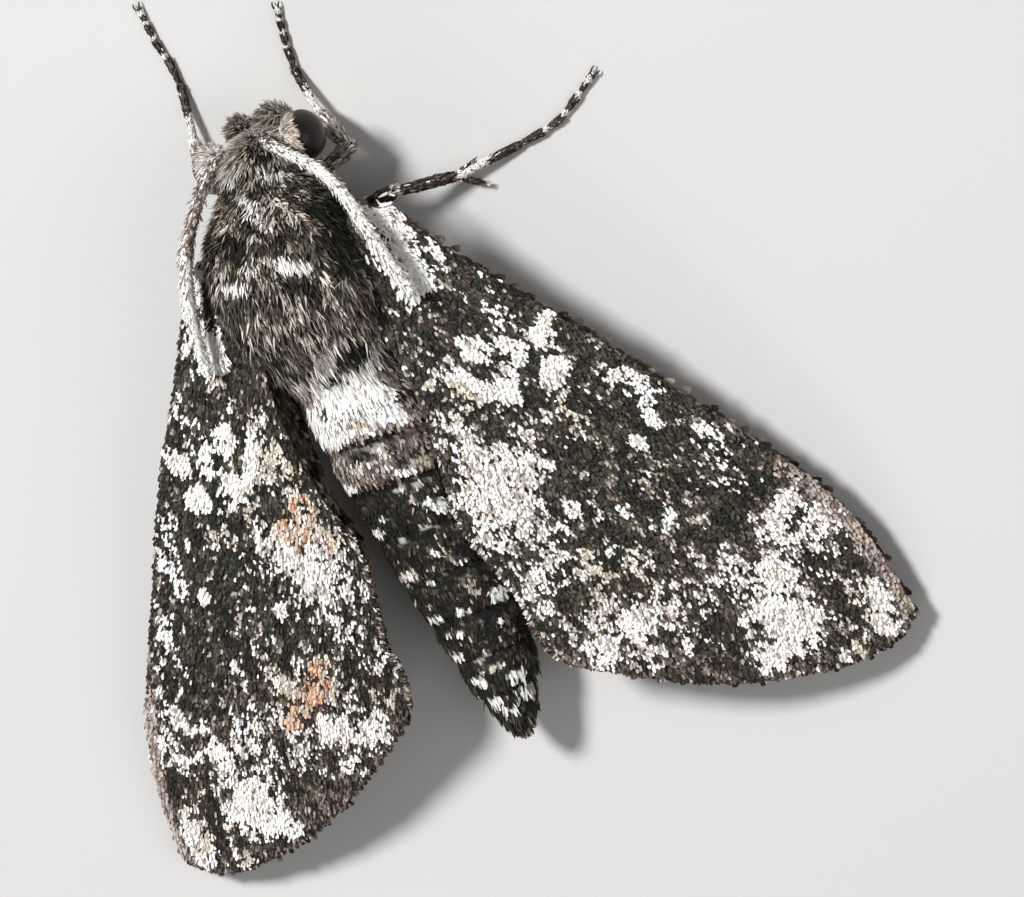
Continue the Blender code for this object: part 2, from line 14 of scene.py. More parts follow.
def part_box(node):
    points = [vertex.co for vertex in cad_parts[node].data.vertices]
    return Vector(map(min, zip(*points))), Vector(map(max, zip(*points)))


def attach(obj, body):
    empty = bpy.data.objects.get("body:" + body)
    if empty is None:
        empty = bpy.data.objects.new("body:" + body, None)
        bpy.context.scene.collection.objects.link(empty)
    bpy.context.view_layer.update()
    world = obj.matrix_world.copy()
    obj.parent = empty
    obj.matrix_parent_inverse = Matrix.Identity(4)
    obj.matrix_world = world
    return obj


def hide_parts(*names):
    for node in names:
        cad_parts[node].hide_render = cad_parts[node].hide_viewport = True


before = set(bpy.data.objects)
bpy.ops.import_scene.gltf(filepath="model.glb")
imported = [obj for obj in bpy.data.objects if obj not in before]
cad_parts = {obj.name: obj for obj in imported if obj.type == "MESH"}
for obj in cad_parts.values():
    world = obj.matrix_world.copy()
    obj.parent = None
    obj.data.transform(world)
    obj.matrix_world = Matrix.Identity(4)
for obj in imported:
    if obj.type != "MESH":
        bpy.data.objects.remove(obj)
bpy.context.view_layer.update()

METRES_PER_MM = 0.001
SEED = 20

# The middle of an eye in the moth's millimetres, which shows where the moth stands in the frame
EYE = Vector((2.3, -4.72, 3.65))
EYE_RADII = Vector((0.86, 1.08, 1.08))
eye_low, eye_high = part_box("eye_left")
MOTH_SHIFT = Vector((0, (eye_low.y + eye_high.y) / 2 - EYE.y * METRES_PER_MM, 0))
TO_FRAME = Matrix.Translation(MOTH_SHIFT) @ Matrix.Scale(METRES_PER_MM, 4)

TONES = {
    "soot": (0.0105, 0.0095, 0.0072),
    "green_black": (0.018, 0.0205, 0.0125),
    "dark_brown": (0.039, 0.028, 0.019),
    "olive": (0.064, 0.058, 0.037),
    "brown_grey": (0.120, 0.100, 0.078),
    "pink_brown": (0.235, 0.172, 0.145),
    "pink_grey": (0.460, 0.385, 0.360),
    "beige": (0.520, 0.440, 0.345),
    "cream": (0.790, 0.715, 0.600),
    "rust": (0.520, 0.225, 0.100),
    "peach": (0.740, 0.500, 0.360),
    "white": (0.965, 0.955, 0.920),
}

# Forewing margins
FORE_LENGTH = 28.0
HINGE = (3.27, -0.13, 5.42)
SWEEP = math.radians(56.2)
DROOP = math.radians(9.2)
ROLL = math.radians(6.9)
COSTA = [(-0.6, -1.3), (1.5, -1.75), (6, -1.95), (11, -2.25), (17, -2.3), (21.5, -2.2), (24.4, -1.6),
         (26.4, -0.75), (28.0, 0.1)]
TERMEN = [(28.0, 0.1), (27.9, 1.6), (27.1, 3.2), (25.6, 4.9), (23.9, 6.5), (22.0, 7.9), (20.1, 8.9),
          (18.3, 9.8), (16.8, 10.5)]
INNER_MARGIN = [(0.2, 1.7), (3.6, 2.7), (6.5, 4.4), (8.4, 6.1), (10.2, 7.7), (12.2, 8.5), (14.0, 9.1),
                (15.5, 10.1), (16.8, 10.5)]
FORE_SHARES = 8
FORE_VEINS = {1: 0.06, 2: 0.06, 3: 0.5, 4: 0.5, 5: 0.06, 6: 0.34, 7: 0.06}
FORE_SCALLOP = 0.18

# Hindwing margins, in the same plane, lower down
HIND_DROP = 1.2
HIND_COSTA = [(1.6, -0.2), (6.0, -0.6), (11.0, -0.5), (15.0, 0.2), (18.2, 2.0)]
HIND_TERMEN = [(18.2, 2.0), (17.6, 4.2), (15.8, 6.2), (13.2, 7.5), (10.6, 7.2)]
HIND_INNER = [(1.2, 1.6), (3.4, 2.4), (5.8, 3.6), (8.2, 5.2), (10.6, 7.2)]
HIND_SHARES = 6
HIND_VEINS = {1: 0.1, 2: 0.1, 3: 0.45, 4: 0.1, 5: 0.1}

# Margins, shares between the veins, veins and drop of a forewing (True) and a hindwing (False)
WING_FORMS = {True: ((COSTA, TERMEN, INNER_MARGIN), FORE_SHARES, FORE_VEINS, 0),
              False: ((HIND_COSTA, HIND_TERMEN, HIND_INNER), HIND_SHARES, HIND_VEINS, HIND_DROP)}

MEMBRANE = 0.09  # half the thickness of a wing between its veins
VEIN_RISE = 0.09
COSTA_RISE = 0.17
PLEAT = 0.07  # the membrane swells this much between two veins
CAMBER = 0.35
VEIN_HALF = 0.014
RIM_START, RIM_WIDE = 0.985, 0.015  # the scalloped rim, as shares of the way out from the wing's root
ON_WING = 0.1  # a scale grows where its root is this near the sheet of the wing
SCALE_DEPTH = 0.015  # how deep a root lies in the membrane

# Marks on a forewing: tone, P, Q, half length, half width, turn in degrees, and how fully it covers
FORE_MARKS = [
    # the white base
    ("white", 0.8, -1.5, 1.6, 0.55, 8, 1.0), ("white", 2.4, -0.6, 1.4, 0.75, 25, 1.0),
    ("white", 3.3, 0.0, 0.75, 0.7, 20, 0.95), ("white", 2.9, -1.5, 0.7, 0.3, 0, 0.5),
    ("soot", 5.0, 0.4, 0.8, 1.5, 0, 0.6),
    # the broken white band before the middle
    ("white", 8.7, -1.3, 0.5, 0.85, -25, 0.9), ("white", 8.1, 0.0, 0.75, 0.5, 0, 0.85),
    ("white", 9.95, 0.0, 0.55, 1.1, -8, 1.0), ("white", 6.7, 0.9, 0.9, 0.52, 0, 0.95),
    ("white", 8.8, 1.5, 0.75, 0.65, 20, 1.0), ("white", 7.5, 2.15, 1.6, 0.45, -8, 0.95),
    ("white", 6.1, 2.4, 0.8, 0.5, 0, 0.7), ("cream", 7.0, 3.0, 1.3, 0.65, 0, 0.6),
    ("white", 6.9, -0.9, 0.8, 0.7, 0, 0.22), ("cream", 5.3, 2.4, 0.8, 0.6, 0, 0.35),
    ("cream", 11.2, 1.0, 1.0, 1.2, 0, 0.27), ("cream", 9.6, 2.8, 1.5, 0.6, 0, 0.35),
    ("cream", 7.6, 4.2, 1.2, 0.8, 30, 0.38),
    # the frosted patch on the inner margin
    ("frost", 10.6, 5.2, 2.2, 1.6, 38, 0.93), ("frost", 11.2, 3.6, 1.2, 0.8, 20, 0.62),
    ("frost", 12.1, 5.9, 1.1, 1.3, 0, 0.75), ("frost", 9.0, 4.8, 1.2, 0.8, 40, 0.6),
    ("frost", 11.5, 7.2, 1.4, 0.9, 40, 0.62), ("frost", 13.8, 6.6, 0.9, 1.0, 0, 0.4),
    ("frost", 14.4, 8.0, 1.2, 1.0, 40, 0.45),
    # flecks in the dark middle
    ("white", 13.4, -1.4, 1.2, 0.55, 0, 0.55), ("white", 14.6, -0.9, 0.4, 0.4, 0, 0.7),
    ("white", 17.1, -1.3, 0.95, 0.55, 0, 0.6), ("white", 11.8, -1.4, 0.7, 0.5, 0, 0.35),
    ("white", 15.5, 3.2, 0.5, 0.3, 0, 0.65), ("white", 17.1, 2.3, 0.6, 0.4, 20, 0.5),
    ("white", 13.7, 4.3, 0.4, 0.35, 0, 0.5), ("white", 13.9, 5.8, 0.45, 0.6, 0, 0.55),
    ("white", 16.1, 5.1, 0.4, 0.4, 0, 0.6), ("white", 18.6, -0.5, 0.9, 1.0, 0, 0.14),
    # the white band before the termen
    ("white", 21.0, -1.2, 0.5, 0.95, 5, 0.85), ("white", 22.7, -1.3, 0.8, 0.95, 0, 0.9),
    ("white", 21.1, 0.3, 0.5, 0.95, -15, 0.85), ("white", 23.0, 0.0, 0.45, 0.65, 0, 0.8),
    ("white", 23.9, 3.5, 1.5, 1.5, 45, 1.0), ("white", 22.3, 2.0, 1.1, 0.85, 30, 0.88),
    ("white", 24.1, 5.1, 0.65, 1.05, 0, 0.95), ("white", 25.1, 3.3, 0.7, 0.8, 0, 0.75),
    ("white", 20.9, 2.8, 1.1, 0.6, 0, 0.6), ("white", 19.4, 3.3, 1.0, 0.42, 0, 0.55),
    ("white", 26.5, 0.45, 1.0, 0.62, 15, 1.0), ("white", 27.4, 1.4, 0.6, 0.55, 30, 0.9),
    ("cream", 25.4, 0.2, 0.4, 0.3, 0, 0.5), ("cream", 26.6, 2.9, 0.7, 0.55, 30, 0.42),
    ("white", 18.6, 7.2, 1.0, 1.0, 30, 0.95), ("white", 18.0, 9.1, 0.85, 0.8, 30, 0.95),
    ("white", 19.9, 8.0, 0.7, 0.65, 0, 0.7), ("cream", 16.5, 9.2, 0.6, 0.6, 30, 0.45),
    ("white", 21.0, 7.0, 0.4, 0.4, 0, 0.5), ("cream", 17.2, 5.0, 0.95, 0.85, 20, 0.55),
    ("cream", 19.4, 5.1, 1.0, 0.9, 0, 0.3), ("cream", 16.6, 6.9, 0.85, 0.8, 0, 0.42),
    # the lacy frost between and around those patches
    ("frost", 20.2, 4.6, 3.0, 1.5, -54, 0.42), ("frost", 22.9, 3.1, 2.6, 1.7, -40, 0.46),
    ("frost", 22.4, -0.6, 1.8, 1.6, -20, 0.4), ("cream", 26.2, 1.3, 1.7, 1.2, 20, 0.4),
    ("frost", 18.3, 8.1, 2.2, 1.4, 30, 0.42), ("cream", 16.3, 6.8, 1.6, 1.3, 0, 0.34),
    # brown and black shades, laid over the white
    ("dark_brown", 24.4, -0.7, 1.05, 0.62, 10, 0.95), ("dark_brown", 24.6, 1.15, 2.1, 0.5, 22, 0.95),
    ("dark_brown", 26.4, 2.1, 0.9, 0.36, 25, 0.8), ("dark_brown", 21.6, 5.2, 1.25, 0.85, 10, 0.6),
    ("dark_brown", 16.0, 8.4, 0.6, 0.6, 0, 0.5), ("dark_brown", 21.9, -0.5, 0.26, 0.85, -8, 0.75),
    ("dark_brown", 22.3, 0.9, 0.5, 0.32, 0, 0.7), ("dark_brown", 11.8, 2.9, 0.8, 0.5, 0, 0.4),
    ("dark_brown", 22.4, 7.0, 0.9, 0.45, -40, 0.6), ("pink_brown", 21.8, 7.4, 1.5, 0.6, -40, 0.55),
    ("soot", 7.8, 0.5, 0.42, 0.35, 0, 0.8), ("soot", 11.3, 0.0, 0.5, 0.5, 0, 0.7),
    ("soot", 15.0, 2.0, 1.6, 1.0, 0, 0.6), ("soot", 15.4, 4.5, 1.2, 0.6, 0, 0.6),
    ("soot", 19.5, 0.3, 0.8, 1.7, 0, 0.7), ("green_black", 13.4, 2.3, 1.4, 1.5, 0, 0.6),
    # the spot at the end of the cell, with its black rim
    ("soot", 14.6, 0.55, 0.85, 0.7, -30, 0.9), ("white", 14.6, 0.5, 0.46, 0.34, -30, 2.0),
]
DARK_TONES = ("soot", "green_black", "dark_brown")
# The left wing alone has warm scales inside its pale marks
LEFT_MARKS = [
    ("cream", 9.4, 5.6, 1.5, 1.1, 40, 0.5), ("rust", 9.4, 4.8, 1.3, 1.1, 40, 0.6),
    ("cream", 16.5, 6.6, 0.8, 0.7, 0, 0.6), ("rust", 17.3, 5.9, 1.4, 0.62, -20, 0.85),
    ("rust", 18.7, 5.1, 0.7, 0.36, -20, 0.7),
]
MARK_RIM = (0.6, 1.3)  # a mark fades between these shares of its half length and width
STROKE_RIM = (0.75, 1.3)  # the same for the half width of a stroke
BRIGHT_TONE = 0.25  # paler scales than this stand up more and get less painted shade at their roots
PAINTED_SHADE_UNDER_SCALES = 0.6  # painted shade: the membrane is painted this share of its scales' tones, dark in the gaps between scales
# Painted shade: the body's skin is painted this share of its pile's tones, dark in the gaps under the fur
PAINTED_SHADE_UNDER_FUR = 0.45
COARSE_CLUMP = 0.42
FINE_CLUMP = 0.19
COARSE_SHARE = 0.55
CLUMP_STRETCH = (1.25, 0.85)  # clumps are longer along the lie than across it
OWN_DRAW = 0.16  # share of the scales that a mark takes or leaves without their clump
OWN_TONE = 0.35  # share of the scales whose tone within a mark is their own

# Skin stations: Y, centre height, half width, height above the centre, depth below it
SKIN = [
    (-5.65, 3.50, 0.0, 0.0, 0.0), (-5.5, 3.52, 0.6, 0.5, 0.45), (-5.2, 3.62, 1.15, 0.95, 0.85),
    (-4.8, 3.78, 1.55, 1.25, 1.1), (-4.4, 3.92, 1.7, 1.35, 1.15), (-4.0, 4.08, 1.6, 1.25, 1.1),
    (-3.6, 4.30, 1.7, 1.4, 1.25), (-2.9, 4.48, 2.25, 1.8, 1.55), (-2.0, 4.60, 2.85, 2.42, 1.85),
    (-0.8, 4.65, 3.2, 2.76, 2.1), (0.9, 4.65, 3.42, 2.95, 2.25), (2.6, 4.55, 3.3, 2.7, 2.2),
    (4.1, 4.32, 2.85, 2.12, 1.95), (5.3, 4.05, 2.45, 1.6, 1.7), (6.6, 3.72, 2.55, 1.62, 1.7),
    (8.0, 3.40, 2.72, 1.72, 1.76), (10.1, 3.03, 2.78, 1.76, 1.78), (12.3, 2.70, 2.66, 1.70, 1.72),
    (14.4, 2.42, 2.48, 1.60, 1.62), (16.5, 2.22, 2.20, 1.45, 1.46), (18.4, 2.12, 1.82, 1.20, 1.22),
    (20.0, 2.11, 1.42, 0.95, 0.96), (21.3, 2.13, 0.9, 0.62, 0.62), (21.9, 2.15, 0.4, 0.3, 0.3),
    (22.0, 2.15, 0.0, 0.0, 0.0),
]
RING_EDGES = [5.6, 8.0, 10.1, 12.3, 14.4, 16.5, 18.4, 20.0]
RING_STEP = 0.15
ABDOMEN_START = 4.6
ABDOMEN_TIP = 22.2
SIDE_BEND = -0.3
SHOULDER_TURN = math.radians(40)
SHOULDER_RISE = 0.36
SOCKET_MARGIN = 0.12  # the skin is drawn in this far outside an eye
SOCKET_DEPTH = 1.4

ANTENNA = [((0.95, -5.15, 4.6), 0.26), ((1.35, -5.05, 5.15), 0.24), ((2.1, -4.4, 5.34), 0.2),
           ((3.1, -3.35, 5.32), 0.21), ((3.95, -2.1, 5.62), 0.23), ((4.5, -0.5, 5.96), 0.23),
           ((4.88, 1.0, 6.04), 0.22), ((5.15, 2.4, 5.9), 0.17), ((5.25, 3.1, 5.8), 0.07)]
PALP = [((0.64, -4.2, 2.3), 0.34), ((0.8, -4.95, 2.05), 0.42), ((0.84, -5.55, 2.35), 0.46),
        ((0.8, -5.8, 2.9), 0.42), ((0.7, -5.75, 3.4), 0.24), ((0.66, -5.7, 3.58), 0.06)]

# Legs: hip, trochanter, knee, ankle, and the way of the foot to its claws
LEGS = {
    "foreleg_left": ((1.1, -2.5, 3.2), (1.45, -3.1, 1.85), (3.5, -3.9, 2.3), (4.3, -5.7, 0.8),
                     [(4.27, -7.1, 0.36), (4.18, -8.9, 0.24), (4.45, -10.3, 0.22), (4.6, -11.9, 0.2)]),
    "foreleg_right": ((-1.1, -2.5, 3.2), (-1.5, -2.9, 1.9), (-3.2, -3.4, 2.1), (-1.9, -5.1, 0.95),
                      [(-1.35, -6.4, 0.42), (-1.25, -7.6, 0.24), (-1.35, -8.6, 0.22), (-1.55, -9.8, 0.2)]),
    "midleg_left": ((1.4, -0.5, 2.8), (2.2, -0.4, 1.6), (4.4, 0.2, 2.0), (6.5, 2.0, 0.62),
                    [(7.9, 3.2, 0.3), (9.2, 4.5, 0.24), (10.2, 5.7, 0.22), (11.0, 7.0, 0.2)]),
    "midleg_right": ((-1.4, -0.5, 2.8), (-2.2, -0.7, 1.6), (-4.2, -1.0, 2.0), (-6.7, -0.55, 0.64),
                     [(-8.4, -0.7, 0.34), (-10.2, -0.9, 0.24), (-11.9, -1.25, 0.22), (-14.1, -2.5, 0.2)]),
    "hindleg_left": ((1.5, 1.9, 2.8), (2.0, 2.4, 1.55), (4.2, 5.0, 1.75), (5.4, 9.3, 0.62),
                     [(5.9, 11.6, 0.3), (6.4, 13.6, 0.24), (6.9, 15.4, 0.22), (7.3, 17.0, 0.2)]),
    "hindleg_right": ((-1.5, 1.9, 2.8), (-2.0, 2.5, 1.55), (-4.3, 5.2, 1.75), (-5.7, 9.6, 0.62),
                      [(-6.3, 11.8, 0.3), (-6.9, 13.8, 0.24), (-7.5, 15.5, 0.22), (-8.0, 17.1, 0.2)]),
}
COXA_RADII = (0.55, 0.45, 0.3)
FEMUR_RADII = (0.24, 0.32, 0.2)
TIBIA_RADII = (0.17, 0.22, 0.17)
FORE_TIBIA_RADII = (0.22, 0.36, 0.2)
FOOT_JOINTS = [0.4, 0.6, 0.76, 0.89, 1.0]
FOOT_RADII = (0.14, 0.11)
FOOT_DROP = 0.055  # the scaled foot is finer than the solid one, and lies as much lower
FLOOR_CLEAR = 0.004  # nothing lies lower than this
LOWEST_ROOT = 0.1
ROD_ROOTS = 0.94  # scales are rooted at this share of a rod's radius
# How far along a spur each of its places lies, and its radius
SPUR = [(0, 0.11), (0.6, 0.085), (1, 0.025)]
UNWRAP_SLOTS = 9  # strips side by side on the unwrap of a leg
# A claw: how far along, aside and up each place lies from the foot's end, and its radius
CLAW = [(-0.05, 0.05, 0, 0.055), (0.16, 0.13, 0.04, 0.045), (0.3, 0.16, -0.04, 0.028),
        (0.33, 0.15, -0.11, 0.01)]
SPUR_PLACES = {"fore": (), "midl": (0.95,), "hind": (0.6, 0.95)}

# Camera, fitted to the moth: place in metres, turns in degrees and lens
CAMERA_PLACE = (-0.192847, -0.035791, 0.349353)
CAMERA_TURNS = (-17.0977, 23.7805, 154.856)
CAMERA_LENS = 332.37


def along(knots, share):
    """Points of the smooth curve through knots, at an array of shares from 0 to 1."""
    knots = np.asarray(knots, float)
    spans = len(knots) - 1
    share = np.atleast_1d(np.asarray(share, float))
    place = np.clip(share, 0, 1) * spans
    i = np.minimum(place.astype(int), spans - 1)
    t = (place - i)[:, None]
    path = np.vstack([2 * knots[0] - knots[1], knots, 2 * knots[-1] - knots[-2]])
    p0, p1, p2, p3 = path[i], path[i + 1], path[i + 2], path[i + 3]
    return 0.5 * (2 * p1 + (p2 - p0) * t + (2 * p0 - 5 * p1 + 4 * p2 - p3) * t**2
                  + (3 * p1 - p0 - 3 * p2 + p3) * t**3)


def unit(vectors):
    return vectors / np.maximum(np.linalg.norm(vectors, axis=-1, keepdims=True), 1e-9)


def drift(places, size, seed):
    """Smooth noise from -1 to 1 over an array of places, with swells about size across."""
    draw = np.random.default_rng(seed)
    total = np.zeros(len(places))
    for _ in range(7):
        way = unit(draw.normal(size=places.shape[1]))
        wave = 2 * np.pi / (size * draw.uniform(1.2, 3.2))
        total += np.sin(places @ way * wave + draw.uniform(0, 2 * np.pi))
    return total / 2.6


def smooth_step(low, high, value):
    t = np.clip((value - low) / (high - low), 0, 1)
    return t * t * (3 - 2 * t)


def cells(flat, size, seed):
    """A draw from 0 to 1 for each place, the same for all in one ragged cell about size across."""
    bend = np.stack([drift(flat, size * 2.2, seed), drift(flat, size * 2.2, seed + 1)], 1)
    cell = np.floor((flat + 0.45 * size * bend) / (size * np.array(CLUMP_STRETCH))).astype(int) % 512
    return np.random.default_rng(seed).random((512, 512))[cell[:, 0], cell[:, 1]]


def clumped(draw, flat, seed):
    """Even draws from 0 to 1, one a scale, which most scales share with their neighbours."""
    coarse, fine = COARSE_SHARE, 1 - COARSE_SHARE
    blend = coarse * cells(flat, COARSE_CLUMP, seed) + fine * cells(flat, FINE_CLUMP, seed + 2)
    low = blend**2 / (2 * coarse * fine)
    high = 1 - (1 - blend)**2 / (2 * coarse * fine)
    even = np.where(blend < fine, low, np.where(blend > coarse, high, (blend - fine / 2) / coarse))
    return np.where(draw.random(len(flat)) < OWN_DRAW, draw.random(len(flat)), even)


def near_tree(points):
    tree = kdtree.KDTree(len(points))
    for index, point in enumerate(points):
        tree.insert(point, index)
    tree.balance()
    return tree


def walked_along(path):
    """How far along a path each of its points lies."""
    return np.concatenate([[0], np.cumsum(np.linalg.norm(np.diff(path, axis=0), axis=1))])


def eye_middle(side):
    return np.array((side * EYE.x, EYE.y, EYE.z))


def strip(turn, share, low=0.05, wide=0.9):
    """Places on the unwrap of a rod or the body: the turn lies across and the length upwards."""
    return np.stack([low + wide * (turn % (2 * np.pi)) / (2 * np.pi), 0.02 + 0.96 * share], 1)


def nothing_selected():
    for obj in bpy.context.selected_objects:
        obj.select_set(False)


def finished(obj, material, smooth=math.radians(40)):
    """Carries a piece from the moth's millimetres into the frame, with its place in its mesh."""
    obj.data.transform(TO_FRAME @ obj.matrix_world)
    obj.matrix_world = Matrix.Identity(4)
    obj.data.materials.clear()
    obj.data.materials.append(material)
    obj.data.shade_smooth()
    obj.data.set_sharp_from_angle(angle=smooth)
    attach(obj, "root")
    return obj


def paint(mesh, colours):
    """Stores one colour for each vertex."""
    tone = mesh.color_attributes.new(name="tone", type="FLOAT_COLOR", domain="POINT")
    filled = np.ones((len(colours), 4), np.float32)
    filled[:, :3] = colours
    tone.data.foreach_set("color", filled.ravel())


def vertex_places(mesh):
    places = np.empty(len(mesh.vertices) * 3)
    mesh.vertices.foreach_get("co", places)
    return places.reshape(-1, 3)


# Tufts and scales: each is a small closed shape, X across, Y from root to tip, Z away from the skin

def scale_shape():
    """A flat scale, narrow at its root, with a blunt point at its end and a raised middle."""
    rim = [(0, 0, -0.3), (0.4, 0.4, 0.3), (0.5, 0.86, 0.4), (0.06, 1.0, 0.5), (-0.46, 0.9, 0.4),
           (-0.4, 0.4, 0.3)]
    middle = len(rim)
    faces = [(here, (here + 1) % middle, middle) for here in range(middle)]
    faces.extend([(0, 5, 1), (5, 4, 1), (4, 2, 1), (4, 3, 2)])
    return np.array([*rim, (0, 0.55, 1.0)], float), np.array(faces)


def hair_shape():
    """A flattened hair that tapers to its tip, in two lengths so that it can bend."""
    sections = [(0.0, 0.42), (0.52, 0.5)]
    points = []
    for y, half in sections:
        points.extend([(-half, y, 0), (half, y, 0), (0, y, half)])
    points.append((0, 1, 0))
    faces = [(0, 1, 2), (3, 6, 4), (4, 6, 5), (5, 6, 3)]
    for a, b in ((0, 1), (1, 2), (2, 0)):
        faces.extend([(a, a + 3, b), (b, a + 3, b + 3)])
    return np.array(points, float), np.array(faces)


SCALE = scale_shape()
HAIR = hair_shape()
TUFT_PATCH = 0.003


def grow(name, shape, roots, lies, outs, looks, patch):
    """Sets a tuft or scale on each root, lying along its lie, as one mesh.

    looks holds, for each root, its length, width, thickness, lift in radians, curl, sideways lean, colour at
    the tip and a painted shade that darkens its root, where the pieces over it would shade it, and one number
    stands for all roots. patch is the root's place on the unwrap of the skin below it."""
    points, faces = shape
    count, size = len(roots), len(points)
    *measures, colour, shade = looks
    measures = [np.broadcast_to(value, (count,)) for value in (*measures, shade)]
    length, width, thick, lift, curl, lean, shade = measures
    outs = unit(outs)
    ahead = unit(lies - (lies * outs).sum(1, keepdims=True) * outs)
    across = np.cross(ahead, outs)
    ahead = unit(ahead + lean[:, None] * across)
    across = np.cross(ahead, outs)
    rise = np.cos(lift)[:, None] * outs - np.sin(lift)[:, None] * ahead
    ahead = np.cos(lift)[:, None] * ahead + np.sin(lift)[:, None] * outs
    x, y, z = points[:, 0], points[:, 1], points[:, 2]
    body = roots[:, None] + across[:, None] * (x * width[:, None])[..., None]
    body = body + ahead[:, None] * (y * length[:, None])[..., None]
    up = z * thick[:, None] + curl[:, None] * length[:, None] * y**2
    body = body + rise[:, None] * up[..., None]
    mesh = bpy.data.meshes.new(name)
    mesh.vertices.add(count * size)
    mesh.vertices.foreach_set("co", body.reshape(-1))
    corners = (faces[None] + (np.arange(count) * size)[:, None, None]).reshape(-1)
    mesh.loops.add(len(corners))
    mesh.loops.foreach_set("vertex_index", corners)
    mesh.polygons.add(len(corners) // 3)
    mesh.polygons.foreach_set("loop_start", np.arange(0, len(corners), 3))
    mesh.update(calc_edges=True)
    # Painted shade: each piece is darkened towards its root by its shade share, where the pieces over it
    # would shade it
    painted_root_shade = 1 - shade[:, None] * (1 - y)[None]
    paint(mesh, (colour[:, None] * painted_root_shade[..., None]).reshape(-1, 3))
    spread = patch[:, None] + TUFT_PATCH * np.stack([x, y - 0.5], -1)[None]
    unwrap = mesh.uv_layers.new(name="OFBake")
    unwrap.data.foreach_set("uv", spread.reshape(-1, 2)[corners].reshape(-1))
    obj = bpy.data.objects.new(name, mesh)
    bpy.context.scene.collection.objects.link(obj)
    return obj


def mixed(draw, field, recipe):
    """A tone for each scale, from a recipe of names and weights, a little lighter or darker than its name.

    field holds a draw for each scale. Most scales follow it, and so their neighbours, and some don't."""
    names = list(recipe)
    shares = np.cumsum([recipe[name] for name in names]) / sum(recipe.values())
    chance = np.where(draw.random(len(field)) < OWN_TONE, draw.random(len(field)), field)
    chosen = np.minimum(np.searchsorted(shares, chance), len(names) - 1)
    tones = np.array([TONES[name] for name in names])[chosen]
    spread = 0.3 - 0.22 * tones.mean(1, keepdims=True)
    return tones * (1 + draw.uniform(-1, 1, (len(field), 1)) * spread)


def lay_marks(draw, colour, field, shade, marks, covers, recipes):
    """Lays marks over the scales in their order. A dark mark takes the scales that pale marks leave."""
    for mark in marks:
        chance = 1 - field if mark[0] in DARK_TONES else field
        recolour(draw, colour, chance < covers(mark), shade, recipes[mark[0]])


def recolour(draw, colour, takes, field, recipe):
    """Gives the scales that a mark takes their tones from its recipe, in place."""
    colour[takes] = mixed(draw, field[takes], recipe)


# Wings

def wing_axes(side):
    hinge = np.array((side * HINGE[0], HINGE[1], HINGE[2]))
    apexward = np.array((side * math.cos(SWEEP) * math.cos(DROOP), math.sin(SWEEP) * math.cos(DROOP),
                         -math.sin(DROOP)))
    level = np.array((-side * math.sin(SWEEP), math.cos(SWEEP), 0))
    normal = np.cross(apexward, level) * side
    across = math.cos(ROLL) * level + math.sin(ROLL) * normal
    return hinge, apexward, across, np.cross(apexward, across) * side


def wing_places(side, p, q, lift):
    hinge, apexward, across, upper = wing_axes(side)
    return hinge + p[:, None] * apexward + q[:, None] * across + lift[:, None] * upper


def sheet(u, v, margins):
    """P and Q on the sheet between the costa (v 0), the inner margin (v 1) and the termen (u 1)."""
    costa, termen, inner = margins
    u = np.asarray(u, float)
    v = np.asarray(v, float)
    across = v[:, None]
    out = u[:, None]
    root = np.array(costa[0]) * (1 - across) + np.array(inner[0]) * across
    edge_u = along(costa, u) * (1 - across) + along(inner, u) * across
    edge_v = root * (1 - out) + along(termen, v) * out
    far = np.array(termen[0]) * (1 - across) + np.array(termen[-1]) * across
    return edge_u + edge_v - (root * (1 - out) + far * out)


def arch(p, q):
    reach = np.clip(p / FORE_LENGTH, 0, 1)
    rise = CAMBER * np.sin(np.pi * reach) * np.cos(0.3 * (q - 3.0))
    return rise - 0.35 * np.maximum(0, -q) * np.maximum(0, 1 - p / 9.0)


def relief(u, v, shares, veins):
    """Half the wing's thickness, with its veins and costa, and the swell of its middle between veins."""
    half = np.full(len(u), MEMBRANE)
    for share, start in veins.items():
        place = share / shares
        on_line = np.exp(-((v - place) / VEIN_HALF) ** 2)
        half += VEIN_RISE * on_line * smooth_step(start, start + 0.06, u) * (1 - smooth_step(0.86, 1, u))
    half += COSTA_RISE * (1 - smooth_step(0.0, 0.09, v)) * (1 - 0.7 * u)
    swell = PLEAT * -np.cos(2 * np.pi * shares * v) * smooth_step(0.1, 0.5, u) * (1 - smooth_step(0.9, 1, u))
    return half, swell


